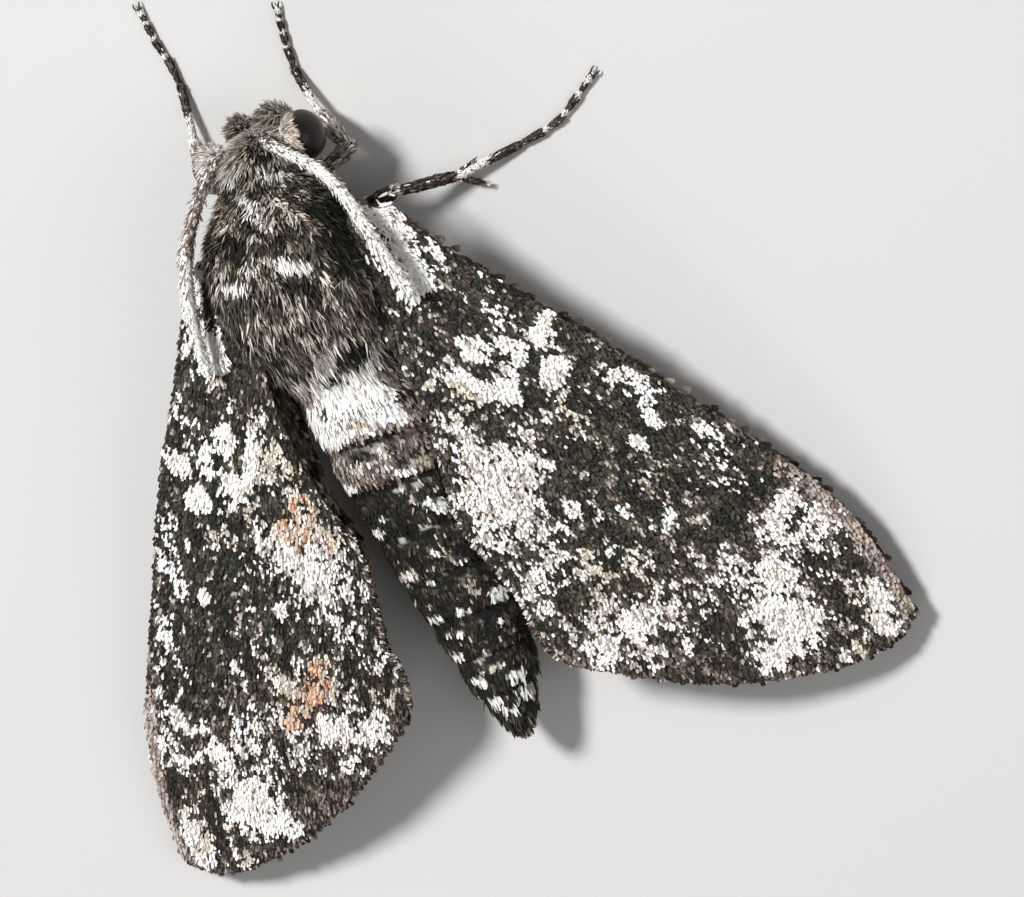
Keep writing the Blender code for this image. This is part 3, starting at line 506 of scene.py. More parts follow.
def wing_sheet(name, side, fore):
    """The membrane: a grid primitive laid between the wing's margins, with its veins raised."""
    margins, shares, veins, drop = WING_FORMS[fore]
    columns, rows = 70, 72
    nothing_selected()
    bpy.ops.mesh.primitive_grid_add(x_subdivisions=columns, y_subdivisions=rows, size=1)
    obj = bpy.context.object
    obj.name = name
    mesh = obj.data
    flat = vertex_places(mesh)
    u, v = flat[:, 0] + 0.5, flat[:, 1] + 0.5
    place = sheet(u, v, margins)
    rim = np.clip((u - RIM_START) / RIM_WIDE, 0, 1)
    scallop = FORE_SCALLOP * (1 - np.abs(np.cos(np.pi * shares * v))) * rim
    place = place - scallop[:, None] * unit(place - np.array(margins[2][3]))
    half, swell = relief(u, v, shares, veins)
    middle = arch(place[:, 0], place[:, 1]) + swell - drop
    mesh.vertices.foreach_set("co", wing_places(side, place[:, 0], place[:, 1], middle).ravel())
    mesh.update()
    if mesh.polygons[len(mesh.polygons) // 2].normal.z < 0:
        mesh.flip_normals()
    thickest = half.max()
    weights = obj.vertex_groups.new(name="thickness")
    for index, share in enumerate(half / thickest):
        weights.add([index], float(share), "REPLACE")
    wall = obj.modifiers.new("membrane", "SOLIDIFY")
    wall.thickness = thickest * 2
    wall.offset = 0
    wall.vertex_group = weights.name
    wall.thickness_vertex_group = 0
    bpy.ops.object.modifier_apply(modifier=wall.name)
    obj.vertex_groups.clear()
    hinge, apexward, across, _ = wing_axes(side)
    away = vertex_places(mesh) - hinge
    p, q = away @ apexward, away @ across
    draw = np.random.default_rng(SEED + 3 + fore)
    tones = fore_tones if fore else hind_tones
    # The membrane takes its scales' tones, darkened as painted shade for the gaps between the scales
    paint(mesh, tones(draw, p, q, side) * PAINTED_SHADE_UNDER_SCALES)
    return obj


def mark_cover(p, q, mark, wobble):
    """How fully a mark covers each place, from 0 to 1, with a ragged rim."""
    _, centre_p, centre_q, half_p, half_q, turn, weight = mark
    turn = math.radians(turn)
    a = (p - centre_p) * math.cos(turn) + (q - centre_q) * math.sin(turn)
    b = (q - centre_q) * math.cos(turn) - (p - centre_p) * math.sin(turn)
    return weight * (1 - smooth_step(*MARK_RIM, np.hypot(a / half_p, b / half_q) + wobble))


GROUND = {"soot": 3.2, "green_black": 3, "dark_brown": 2.2, "olive": 3.4, "brown_grey": 1.3}
WARM_GROUND = {"soot": 1.6, "dark_brown": 4, "olive": 1, "brown_grey": 1.8, "pink_brown": 1.1}
RECIPES = {
    "white": {"white": 9, "cream": 1.0, "pink_grey": 0.5},
    "cream": {"beige": 3.5, "pink_grey": 1, "cream": 4, "white": 2.5},
    "frost": {"brown_grey": 0.6, "pink_grey": 2.6, "cream": 1.6, "white": 6},
    "rust": {"rust": 2.2, "peach": 4.5, "beige": 2, "cream": 1.5},
    "pink_brown": {"dark_brown": 1.3, "brown_grey": 2.6, "pink_brown": 5, "pink_grey": 1.6},
    "dark_brown": {"soot": 2, "dark_brown": 5, "brown_grey": 1},
    "soot": {"soot": 5, "green_black": 2.4, "olive": 1.3, "dark_brown": 1},
    "green_black": {"soot": 2, "green_black": 4, "olive": 2},
    "dust": {"brown_grey": 3, "pink_brown": 1.5, "beige": 1.5, "pink_grey": 1.2},
}
COSTA_RIM = {"pink_brown": 5, "pink_grey": 2.6, "beige": 2}
WING_DUST = 0.13
WING_FLECKS = 0.03


def fore_tones(draw, p, q, side):
    """A tone for each scale of a forewing's upper side."""
    flat = np.stack([p, q], 1)
    wobble = 0.24 * drift(flat, 0.9, 5) + 0.16 * drift(flat, 0.38, 6)
    field = clumped(draw, flat, 30 + side)
    shade = clumped(draw, flat, 40 + side)
    colour = mixed(draw, shade, GROUND)
    warm = smooth_step(17.0, 20.5, p + 0.25 * q) * 0.85
    recolour(draw, colour, clumped(draw, flat, 50) < warm, shade, WARM_GROUND)
    recolour(draw, colour, field < WING_DUST, shade, RECIPES["dust"])
    recolour(draw, colour, field < WING_FLECKS, shade, RECIPES["white"])
    marks = FORE_MARKS + (LEFT_MARKS if side > 0 else [])
    lay_marks(draw, colour, field, shade, marks, lambda mark: mark_cover(p, q, mark, wobble), RECIPES)
    rim = smooth_step(19.5, 21.5, p) * (1 - smooth_step(0.3, 0.75, costa_distance(p, q)))
    recolour(draw, colour, draw.random(len(p)) < rim * 0.9, shade, COSTA_RIM)
    return colour


COSTA_PATH = along(COSTA, np.linspace(0, 1, 400))


def costa_distance(p, q):
    """How far a place lies in from the costa, measured straight across the wing."""
    return q - np.interp(p, COSTA_PATH[:, 0], COSTA_PATH[:, 1])


def hind_tones(draw, p, q, side):
    """A tone for each scale of a hindwing: grey brown, with a dark rim and two dark bands."""
    flat = np.stack([p, q], 1)
    wobble = 0.3 * drift(flat, 1.2, 9)
    field = clumped(draw, flat, 70 + side)
    shade = clumped(draw, flat, 80 + side)
    colour = mixed(draw, shade, {"dark_brown": 1, "brown_grey": 4, "pink_brown": 2, "beige": 0.7})
    reach = p + 0.35 * q + wobble
    for middle, half in ((9.0, 0.5), (11.6, 0.45)):
        cover = 0.85 * (1 - smooth_step(half * 0.6, half * 1.4, np.abs(reach - middle)))
        recolour(draw, colour, field < cover, shade, {"dark_brown": 4, "soot": 2})
    recolour(draw, colour, field < smooth_step(14.5, 16.5, reach), shade,
             {"soot": 2, "dark_brown": 4, "brown_grey": 2})
    return colour


def under_tones(draw, p, q, side):
    """A tone for each scale of a wing's underside: plain grey brown with a pale dust."""
    flat = np.stack([p, q], 1)
    field = clumped(draw, flat, 90 + side)
    shade = clumped(draw, flat, 100 + side)
    colour = mixed(draw, shade, {"dark_brown": 1.5, "brown_grey": 5, "pink_brown": 2.5, "beige": 0.8})
    outer = 0.7 * smooth_step(17, 25, p)
    recolour(draw, colour, field < outer, shade, {"dark_brown": 3, "brown_grey": 3, "pink_grey": 1})
    return colour


def wing_scales(name, side, fore, top, row_gap, column_gap, size):
    """Rows of scales over one face of a wing, each lying towards the termen.

    size is length, width, thickness, lift and its spread."""
    margins, shares, veins, drop = WING_FORMS[fore]
    draw = np.random.default_rng(SEED + 10 * fore + 20 * top + (side > 0) + int(1000 * row_gap))
    fine_u, fine_v = np.meshgrid(np.linspace(0, 1, 260), np.linspace(0, 1, 130), indexing="ij")
    fine_u, fine_v = fine_u.ravel(), fine_v.ravel()
    fine = sheet(fine_u, fine_v, margins)
    tree = near_tree([(p, q, 0) for p, q in fine])
    low, high = fine.min(0), fine.max(0)
    rows = np.arange(low[0], high[0], row_gap)
    columns = np.arange(low[1], high[1], column_gap)
    p, q = [grid.ravel() for grid in np.meshgrid(rows, columns, indexing="ij")]
    q = q + np.where((np.round((p - low[0]) / row_gap) % 2) > 0, column_gap / 2, 0)
    p = p + draw.normal(0, row_gap * 0.22, len(p))
    q = q + draw.normal(0, column_gap * 0.22, len(q))
    found = [tree.find((a, b, 0)) for a, b in zip(p, q)]
    near = np.array([index for _, index, _ in found])
    inside = np.array([distance for _, _, distance in found]) < ON_WING
    p, q, near = p[inside], q[inside], near[inside]
    u, v = fine_u[near], fine_v[near]
    inboard = np.clip(u, 0, RIM_START)
    onward = unit(sheet(inboard + 0.01, v, margins) - sheet(inboard, v, margins))
    half, swell = relief(u, v, shares, veins)
    middle = arch(p, q) + swell - drop
    sign = 1 if top else -1
    _, apexward, across, upper = wing_axes(side)
    step = 0.05
    roots = wing_places(side, p, q, middle + sign * (half - SCALE_DEPTH))
    ahead_lift = arch(p + onward[:, 0] * step, q + onward[:, 1] * step) - arch(p, q)
    lies = onward[:, :1] * apexward + onward[:, 1:] * across + (ahead_lift / step)[:, None] * upper
    outs = np.tile(sign * upper, (len(p), 1))
    length, width, thick, lift, lift_spread = size
    count = len(p)
    tones = (fore_tones if fore else hind_tones) if top else under_tones
    colour = tones(draw, p, q, side)
    bright = colour.mean(1) > BRIGHT_TONE
    raised = np.where(bright, 0.1, 0.0)
    # The last of the looks is the painted shade at each scale's root, lighter on pale scales
    looks = (length * draw.uniform(0.8, 1.2, count), width * draw.uniform(0.8, 1.25, count), thick,
             lift + raised + np.abs(draw.normal(0, lift_spread, count)),
             draw.uniform(-0.16, 0.06, count), draw.normal(0, 0.22, count), colour,
             np.where(bright, 0.22, 0.35))
    patch = np.stack([0.03 + 0.94 * (p - low[0]) / (high[0] - low[0]),
                      0.02 + 0.46 * (q - low[1]) / (high[1] - low[1]) + (0.5 if top else 0)], 1)
    return grow(name, SCALE, roots, lies, outs, looks, patch)


# Body skin

def skin_table():
    """Many stations along the body, from a smooth curve through the named ones, with the rings' steps."""
    dense = along(SKIN, np.linspace(0, 1, 900))
    dense[:, 0] = np.maximum.accumulate(dense[:, 0])
    dense[:, 2:] = np.maximum(dense[:, 2:], 0)
    y = dense[:, 0]
    proud = np.zeros(len(y))
    for start, edge in zip(RING_EDGES, RING_EDGES[1:]):
        share = (y - start) / (edge - start)
        within = (share >= 0) & (share < 1)
        step = smooth_step(0.0, 0.5, share) * (1 - smooth_step(0.94, 1.0, share))
        proud = np.where(within, RING_STEP * step, proud)
    dense[:, 2:] += proud[:, None] * (dense[:, 2:] > 0.3)
    return dense


TABLE = skin_table()
SKIN_LOW, SKIN_HIGH = TABLE[0, 0], TABLE[-1, 0]
OUTLINE_WALK = walked_along(np.stack([TABLE[:, 0], TABLE[:, 1] + TABLE[:, 3], TABLE[:, 2]], 1))
# Places along the body at even steps of its outline, so that its blunt ends get as many as its sides
RUN = np.interp(np.linspace(0, OUTLINE_WALK[-1], 600), OUTLINE_WALK, TABLE[:, 0])


def skin_at(y, turn):
    """Points of the skin at places along the body and turns about it, in radians from the left side up."""
    centre, half, above, below = [np.interp(y, TABLE[:, 0], TABLE[:, k]) for k in range(1, 5)]
    sine, cosine = np.sin(turn), np.cos(turn)
    shoulder = np.exp(-((np.abs(np.abs(turn - np.pi / 2) - (np.pi / 2 - SHOULDER_TURN))) / 0.33) ** 2)
    shoulder *= SHOULDER_RISE * smooth_step(-3.4, -1.6, y) * (1 - smooth_step(2.4, 3.3, y))
    reach = np.clip((y - ABDOMEN_START) / (ABDOMEN_TIP - ABDOMEN_START), 0, 1)
    x = (half + shoulder) * cosine + SIDE_BEND * np.sin(np.pi * reach)
    z = centre + (np.where(sine > 0, above, below) + shoulder) * sine
    places = np.stack([x, y, z], 1)
    for side in (-1, 1):
        away = places - eye_middle(side)
        reach = np.linalg.norm(away / (np.array(EYE_RADII) + SOCKET_MARGIN), axis=1)
        pull = np.clip(1 - reach, 0, 1)[:, None]
        places = places - np.array((side, 0, 0)) * pull * SOCKET_DEPTH
    return places


def skin_frame(y, turn):
    """Points of the skin, with the way along it towards the tail and the way out of it."""
    step = 0.12
    here = skin_at(y, turn)
    behind = skin_at(np.minimum(y + step, SKIN_HIGH - 0.01), turn)
    tailward = behind - skin_at(np.maximum(y - step, SKIN_LOW + 0.01), turn)
    around = skin_at(y, turn + 0.03) - skin_at(y, turn - 0.03)
    return here, unit(tailward), unit(np.cross(tailward, around))


def body_skin():
    """One closed skin for the head, thorax and abdomen, shaped from a sphere primitive."""
    nothing_selected()
    sides, bands = 96, 240
    bpy.ops.mesh.primitive_uv_sphere_add(segments=sides, ring_count=bands, radius=1)
    obj = bpy.context.object
    obj.name = "body_skin"
    ball = vertex_places(obj.data)
    share = np.arccos(np.clip(ball[:, 2], -1, 1)) / np.pi
    turn = np.arctan2(ball[:, 1], ball[:, 0])
    run = np.interp(share, np.linspace(0, 1, len(RUN)), RUN)
    places = skin_at(run, turn)
    obj.data.vertices.foreach_set("co", places.ravel())
    obj.data.update()
    draw = np.random.default_rng(SEED)
    # The skin takes its pile's tones, darkened as painted shade under the fur
    paint(obj.data, body_tones(draw, run, turn % (2 * np.pi)) * PAINTED_SHADE_UNDER_FUR)
    made_outward(obj)
    return obj


def made_outward(obj):
    bpy.context.view_layer.objects.active = obj
    obj.select_set(True)
    bpy.ops.object.mode_set(mode="EDIT")
    bpy.ops.mesh.select_all(action="SELECT")
    bpy.ops.mesh.normals_make_consistent(inside=False)
    bpy.ops.object.mode_set(mode="OBJECT")
    obj.select_set(False)


# Wide shades on the body: tone, Y from and to, turn from and to, cover. Turns are in degrees from the
# left side, 0, over the crown, 90, to the right side, 180.
BODY_ZONES = [
    ("head", -6.0, -3.85, 0, 360, 1.0), ("thorax", -3.85, 5.3, 0, 360, 1.0),
    ("green_black", -1.9, 1.2, 138, 180, 0.9), ("green_black", 1.2, 4.6, 0, 40, 0.5),
    ("grey_rings", 5.2, 10.1, 0, 180, 1.0), ("slate", 10.1, 22.2, 0, 360, 1.0),
    ("pink_grey", 4.9, 6.2, 8, 62, 0.9), ("white", 5.2, 7.75, 60, 134, 1.6),
    ("white", 6.0, 7.85, 20, 80, 1.6), ("belly", -3.5, 22.0, 196, 344, 0.9),
]
# Strokes on the body: tone, Y and turn where it starts, Y and turn where it ends, half width, cover
BODY_STROKES = [
    # head: a pale band that runs from between the feelers into the right one
    ("white", -5.4, 104, -5.3, 120, 0.17, 1.1), ("white", -5.25, 120, -4.95, 135, 0.17, 1.1),
    ("white", -4.95, 135, -4.4, 150, 0.19, 1.1), ("cream", -5.5, 82, -5.35, 100, 0.12, 0.8),
    ("beige", -4.9, 76, -4.75, 84, 0.14, 0.8), ("dark_brown", -4.6, 92, -4.2, 124, 0.24, 0.7),
    # collar
    ("white", -3.85, 64, -3.83, 75, 0.17, 1.0), ("beige", -3.07, 76, -3.4, 100, 0.13, 0.95),
    ("white", -3.6, 118, -3.38, 140, 0.2, 1.1), ("white", -3.35, 140, -3.2, 152, 0.16, 1.0),
    # thorax
    ("white", -2.9, 86, -2.4, 92, 0.18, 0.9), ("white", -2.6, 95, -2.15, 105, 0.18, 0.9),
    ("cream", -2.7, 116, -1.6, 130, 0.15, 0.9), ("cream", -1.8, 106, -1.8, 116, 0.12, 0.8),
    ("beige", -2.4, 60, -2.1, 71, 0.15, 0.7), ("soot", -1.6, 74, -0.95, 76, 0.42, 0.9),
    ("beige", -0.6, 54, -0.6, 58, 0.16, 0.8), ("cream", -0.6, 76, -0.35, 88, 0.14, 0.9),
    ("white", -0.15, 50, 0.22, 76, 0.22, 1.0), ("cream", -0.75, 95, -0.45, 101, 0.13, 0.9),
    ("white", -0.2, 105, 0.32, 123, 0.26, 1.1), ("soot", 0.7, 107, 0.85, 119, 0.3, 1.0),
    ("soot", 1.0, 119, 1.65, 121, 0.24, 1.0), ("beige", 1.0, 98, 3.8, 95, 0.07, 0.9),
    ("beige", 1.1, 103, 3.9, 102, 0.07, 0.9), ("cream", 1.3, 108, 3.9, 109, 0.07, 0.9),
    ("beige", 1.7, 113, 3.8, 116, 0.07, 0.9), ("cream", 0.9, 129, 3.1, 130, 0.1, 0.95),
    ("white", 1.2, 168, 1.9, 168, 0.32, 0.9), ("pink_grey", 3.4, 144, 3.7, 160, 0.26, 0.8),
    ("blush", 3.95, 118, 4.85, 84, 0.36, 1.0), ("blush", 4.85, 84, 5.0, 50, 0.3, 0.8),
    ("soot", 4.4, 116, 4.5, 138, 0.36, 1.0), ("white", 5.6, 126, 4.6, 150, 0.22, 0.9),
    ("soot", 5.2, 78, 5.25, 102, 0.12, 0.9), ("soot", 3.3, 60, 4.6, 66, 0.35, 0.7),
    ("beige", 2.0, 56, 3.4, 60, 0.1, 0.7),
    # saddle and the ring behind it
    ("brown_grey", 6.35, 56, 6.35, 66, 0.2, 0.9), ("beige", 7.25, 83, 7.25, 97, 0.15, 0.8),
    ("cream", 9.1, 62, 9.1, 80, 0.18, 0.9), ("cream", 8.7, 97, 9.4, 98, 0.22, 0.85),
    ("white", 9.9, 101, 9.95, 115, 0.16, 0.95), ("soot", 8.15, 60, 8.2, 124, 0.14, 0.8),
    # white spots on the slate rings, on the left, the right and the crown
    ("white", 9.95, 22, 9.95, 48, 0.22, 0.9), ("white", 12.1, 36, 12.1, 52, 0.22, 1.0),
    ("white", 14.3, 22, 14.3, 56, 0.2, 1.0), ("white", 16.45, 45, 16.45, 62, 0.18, 1.0),
    ("white", 18.3, 42, 18.3, 62, 0.2, 1.0), ("white", 19.6, 62, 19.7, 76, 0.26, 1.0),
    ("white", 20.7, 58, 20.7, 71, 0.28, 1.0), ("white", 11.4, 112, 12.0, 122, 0.26, 1.0),
    ("white", 16.3, 136, 16.4, 145, 0.26, 1.0), ("white", 19.85, 121, 19.9, 139, 0.22, 1.0),
    ("white", 20.85, 130, 20.85, 148, 0.22, 1.0), ("white", 21.2, 94, 21.2, 114, 0.17, 1.0),
    ("white", 14.2, 140, 14.25, 152, 0.18, 0.9), ("white", 10.6, 92, 10.6, 97, 0.12, 1.0),
    ("white", 10.6, 108, 10.65, 113, 0.12, 1.0), ("white", 11.2, 99, 11.2, 102, 0.1, 1.0),
    ("white", 11.5, 63, 11.5, 66, 0.11, 1.0), ("white", 12.5, 96, 12.5, 99, 0.1, 1.0),
    ("white", 12.7, 68, 12.7, 71, 0.1, 1.0), ("white", 13.6, 94, 13.6, 97, 0.1, 1.0),
    ("white", 14.4, 112, 14.4, 117, 0.13, 1.0), ("white", 14.85, 73, 14.85, 76, 0.11, 1.0),
    ("white", 16.4, 88, 16.5, 98, 0.14, 1.0), ("white", 17.3, 60, 17.3, 64, 0.1, 1.0),
    ("white", 17.3, 77, 17.3, 80, 0.1, 1.0), ("white", 17.4, 127, 17.4, 131, 0.12, 1.0),
    ("white", 18.5, 96, 18.5, 99, 0.11, 1.0), ("beige", 15.1, 106, 15.9, 117, 0.12, 0.8),
    ("beige", 19.2, 80, 19.2, 116, 0.1, 0.8), ("beige", 18.75, 75, 18.75, 86, 0.1, 0.8),
]
BODY_RECIPES = dict(RECIPES, **{
    "head": {"brown_grey": 0.4, "pink_brown": 1, "pink_grey": 5, "beige": 3, "cream": 6, "white": 2},
    "thorax": {"soot": 2.2, "green_black": 2, "dark_brown": 2.4, "olive": 2.6, "brown_grey": 4,
               "pink_brown": 2, "beige": 1.6, "pink_grey": 0.8, "cream": 0.7},
    "grey_rings": {"soot": 0.8, "dark_brown": 2, "brown_grey": 3.4, "pink_brown": 2.4, "pink_grey": 2.6,
                   "beige": 1.6},
    "slate": {"soot": 6, "green_black": 3.6, "dark_brown": 2, "olive": 1.6, "brown_grey": 1, "beige": 0.35},
    "belly": {"brown_grey": 4, "pink_brown": 3, "pink_grey": 1},
    "beige": {"pink_grey": 1.5, "beige": 4, "cream": 2.5},
    "blush": {"pink_grey": 4, "cream": 3, "white": 3},
    "brown_grey": {"dark_brown": 2, "brown_grey": 4, "pink_brown": 2},
    "pink_grey": {"pink_brown": 2, "pink_grey": 5, "white": 1.5},
})
BODY_GIRTH = 2.6
ZONE_EDGE = 0.14


def stroke_cover(y, degrees, girth, stroke, wobble):
    """How fully a stroke covers each place of the body, with a ragged rim."""
    _, start_y, start_turn, end_y, end_turn, half, weight = stroke
    away = np.stack([y - start_y, np.radians(degrees - start_turn) * girth], 1)
    run = np.stack([np.full(len(y), end_y - start_y), np.radians(end_turn - start_turn) * girth], 1)
    share = np.clip((away * run).sum(1) / np.maximum((run * run).sum(1), 1e-6), 0, 1)
    distance = np.linalg.norm(away - run * share[:, None], axis=1)
    return weight * (1 - smooth_step(*STROKE_RIM, distance / half + wobble))


def zone_cover(y, degrees, zone, wobble):
    _, y0, y1, turn0, turn1, weight = zone
    along_body = y + wobble * 0.25
    inside = smooth_step(y0 - ZONE_EDGE, y0 + ZONE_EDGE, along_body)
    inside = inside * (1 - smooth_step(y1 - ZONE_EDGE, y1 + ZONE_EDGE, along_body))
    if turn1 - turn0 < 360:
        across = degrees + wobble * 5
        inside = inside * smooth_step(turn0 - 3, turn0 + 3, across)
        inside = inside * (1 - smooth_step(turn1 - 3, turn1 + 3, across))
    return weight * inside


def body_tones(draw, y, turn):
    """A tone for each hair or scale of the body that shows at y and turn."""
    degrees = np.degrees(turn) % 360
    girth = np.maximum(np.interp(y, TABLE[:, 0], TABLE[:, 2]), 0.5)
    flat = np.stack([y, np.radians(degrees) * BODY_GIRTH], 1)
    wobble = 0.3 * drift(flat, 0.7, 11) + 0.2 * drift(flat, 0.3, 12)
    field = clumped(draw, flat, 60)
    shade = clumped(draw, flat, 64)
    colour = mixed(draw, shade, BODY_RECIPES["thorax"])
    for zone in BODY_ZONES:
        recolour(draw, colour, field < zone_cover(y, degrees, zone, wobble), shade, BODY_RECIPES[zone[0]])
    lay_marks(draw, colour, field, shade, BODY_STROKES,
              lambda stroke: stroke_cover(y, degrees, girth, stroke, wobble), BODY_RECIPES)
    return colour


def body_rows(row_gap, column_gap, low, high, draw):
    """Roots in staggered rows over the skin, as places along the body and turns about it."""
    rows_y = np.interp(np.arange(row_gap, OUTLINE_WALK[-1], row_gap), OUTLINE_WALK, TABLE[:, 0])
    ys, turns = [], []
    for number, y in enumerate(rows_y):
        if not low <= y <= high:
            continue
        half, above, below = [float(np.interp(y, TABLE[:, 0], TABLE[:, k])) for k in (2, 3, 4)]
        girth = math.pi * (half + (above + below) / 2)
        many = max(5, round(girth / column_gap))
        turn = (np.arange(many) + 0.5 * (number % 2)) * 2 * np.pi / many
        ys.append(np.full(many, y) + draw.normal(0, row_gap * 0.3, many))
        turns.append(turn + draw.normal(0, 0.3 * 2 * np.pi / many, many))
    y = np.clip(np.concatenate(ys), SKIN_LOW + 0.02, SKIN_HIGH - 0.02)
    return y, np.concatenate(turns) % (2 * np.pi)


FUR_DEPTH = 0.06  # how deep a root lies in the skin
SHOWN_SHARE = 0.55  # a hair shows this far behind its root, as the next ones cover its start


def clear_of_eyes(places, margin):
    keep = np.ones(len(places), bool)
    for side in (-1, 1):
        away = (places - eye_middle(side)) / np.array(EYE_RADII)
        keep &= np.linalg.norm(away, axis=1) > 1 + margin
    return keep


def body_coat(name, shape, low, high, row_gap, column_gap, size, clump, seed):
    """Part of the body's coat between two places along it.

    size is length, width, thickness, lift, its spread, and curl. Tufts within one clump lean to one tip."""
    draw = np.random.default_rng(SEED + seed)
    y, turn = body_rows(row_gap, column_gap, low, high, draw)
    here, tailward, outward = skin_frame(y, turn)
    keep = clear_of_eyes(here, 0.02)
    y, turn, here, tailward, outward = y[keep], turn[keep], here[keep], tailward[keep], outward[keep]
    count = len(y)
    length, width, thick, lift, lift_spread, curl = size
    lengths = length(y, turn) * draw.uniform(0.8, 1.2, count)
    lifts = lift(y, turn) + np.abs(draw.normal(0, lift_spread, count))
    clump_tips(here, tailward, outward, lengths, lifts, clump, draw)
    colour = body_tones(draw, y + lengths * SHOWN_SHARE, turn)
    # The last of the looks is the painted shade at each hair's root, lighter on pale hairs
    looks = (lengths, width * draw.uniform(0.75, 1.3, count), thick, lifts,
             curl + draw.normal(0, 0.04, count), draw.normal(0, 0.16, count), colour,
             np.where(colour.mean(1) > BRIGHT_TONE, 0.22, 0.45))
    patch = strip(turn, (y - SKIN_LOW) / (SKIN_HIGH - SKIN_LOW), 0.02, 0.96)
    return grow(name, shape, here - outward * FUR_DEPTH, tailward, outward, looks, patch)


def clump_tips(here, tailward, outward, lengths, lifts, clump, draw):
    """Turns the tufts of each clump towards that clump's own tip, in place."""
    if not clump:
        return
    many = max(4, int(len(here) * clump[0]))
    chosen = draw.choice(len(here), many, replace=False)
    tree = near_tree(here[chosen])
    nearest = chosen[np.array([tree.find(root)[1] for root in here])]
    tips = here + tailward * lengths[:, None]
    target = tips[nearest] + outward[nearest] * (lengths[nearest] * np.sin(lifts[nearest]))[:, None]
    tailward[:] = unit(tips + (target - tips) * clump[1] - here)


# Limbs, feelers and palps

def rod_line(knots, shares):
    """Places and radii along knots, each a place and a radius."""
    return along([place for place, _ in knots], shares), along([(r, 0, 0) for _, r in knots], shares)[:, 0]


def rod(name, knots, steps, sides=5):
    """A tube along knots, each a place and a radius, from a curve made a mesh."""
    places, radii = rod_line(knots, np.linspace(0, 1, steps + 1))
    curve = bpy.data.curves.new(name, "CURVE")
    curve.dimensions = "3D"
    curve.bevel_depth = 1
    curve.bevel_resolution = sides
    curve.use_fill_caps = True
    spline = curve.splines.new("POLY")
    spline.points.add(steps)
    for point, place, radius in zip(spline.points, places, np.maximum(radii, 0.01)):
        point.co = (*place, 1)
        point.radius = radius
    obj = bpy.data.objects.new(name, curve)
    bpy.context.scene.collection.objects.link(obj)
    nothing_selected()
    obj.select_set(True)
    bpy.context.view_layer.objects.active = obj
    bpy.ops.object.convert(target="MESH")
    obj = bpy.context.object
    obj.select_set(False)
    bm = bmesh.new()
    bm.from_mesh(obj.data)
    bmesh.ops.remove_doubles(bm, verts=bm.verts, dist=0.0001)
    bmesh.ops.recalc_face_normals(bm, faces=bm.faces)
    bm.to_mesh(obj.data)
    bm.free()
    return obj


def joined(name, pieces):
    nothing_selected()
    for piece in pieces:
        piece.select_set(True)
    bpy.context.view_layer.objects.active = pieces[0]
    bpy.ops.object.join()
    obj = bpy.context.object
    obj.name = name
    obj.select_set(False)
    return obj


def rod_roots(knots, row_gap, column_gap, draw):
    """Roots in rows round a rod: places, ways along, ways out, share along and turn."""
    shares = np.linspace(0, 1, 240)
    path, radii = rod_line(knots, shares)
    walked = walked_along(path)
    found = []
    for number, far in enumerate(np.arange(row_gap * 0.5, walked[-1], row_gap)):
        share = float(np.interp(far, walked, shares))
        radius = max(float(np.interp(share, shares, radii)), 0.03)
        many = max(4, round(2 * math.pi * radius / column_gap))
        turns = (np.arange(many) + 0.5 * (number % 2)) * 2 * np.pi / many + draw.normal(0, 0.25, many) / many
        jitter = np.clip(share + draw.normal(0, 0.25 * row_gap / walked[-1], many), 0, 1)
        found.append(np.stack([jitter, turns, np.full(many, radius)], 1))
    share, turn, radius = np.concatenate(found).T
    middle, ahead, back = [np.stack([np.interp(at, shares, path[:, k]) for k in range(3)], 1)
                           for at in (share, np.minimum(share + 0.01, 1), np.maximum(share - 0.01, 0))]
    way = unit(ahead - back)
    side = unit(np.cross(way, np.array((0.0, 0.02, 1.0))))
    top = np.cross(side, way)
    out = side * np.cos(turn)[:, None] + top * np.sin(turn)[:, None]
    return middle + out * radius[:, None] * ROD_ROOTS, way, out, share, turn


def shaft_knots(start, end, radii):
    start, end = np.array(start, float), np.array(end, float)
    return [(tuple(start), radii[0]), (tuple((start + end) / 2), radii[1]), (tuple(end), radii[2])]


def foot_knots(ankle, way):
    """A foot of five joints, each widening to its end and pinched after it."""
    path = [ankle, *[(x, y, z - FOOT_DROP) for x, y, z in way]]
    knots = [(tuple(along(path, 0)[0]), FOOT_RADII[0])]
    for number, end in enumerate(FOOT_JOINTS):
        radius = FOOT_RADII[0] + (FOOT_RADII[1] - FOOT_RADII[0]) * end
        knots.append((tuple(along(path, end - 0.03)[0]), radius + 0.035))
        if number < 4:
            knots.append((tuple(along(path, end + 0.015)[0]), radius * 0.8))
    knots.append((tuple(along(path, 1)[0]), FOOT_RADII[1] * 0.7))
    return knots


def claws(end, way):
    """Two hooked claws at the end of a foot."""
    end, way = Vector(end), Vector(way).normalized()
    level = way.cross(Vector((0, 0, 1))).normalized()
    made = []
    for side in (-1, 1):
        knots = [(end + way * ahead + level * side * aside + Vector((0, 0, up)), radius)
                 for ahead, aside, up, radius in CLAW]
        made.append(rod("claw", knots, 8, 2))
    return made


def leg_parts(name):
    hip, trochanter, knee, ankle, way = LEGS[name]
    tibia = FORE_TIBIA_RADII if name.startswith("fore") else TIBIA_RADII
    return {"coxa": shaft_knots(hip, trochanter, COXA_RADII),
            "femur": shaft_knots(trochanter, knee, FEMUR_RADII),
            "tibia": shaft_knots(knee, ankle, tibia), "foot": foot_knots(ankle, way)}


def spur_knots(name):
    _, _, knee, ankle, _ = LEGS[name]
    knee, ankle = Vector(knee), Vector(ankle)
    shin = (ankle - knee).normalized()
    level = shin.cross(Vector((0, 0, 1))).normalized()
    made = []
    for share in SPUR_PLACES[name[:4]]:
        for side, length in ((-1, 1.0), (1, 1.3)):
            root = knee.lerp(ankle, share)
            way = (shin + 0.45 * side * level + Vector((0, 0, 0.2))).normalized()
            made.append([(tuple(root + way * length * far), radius) for far, radius in SPUR])
    return made


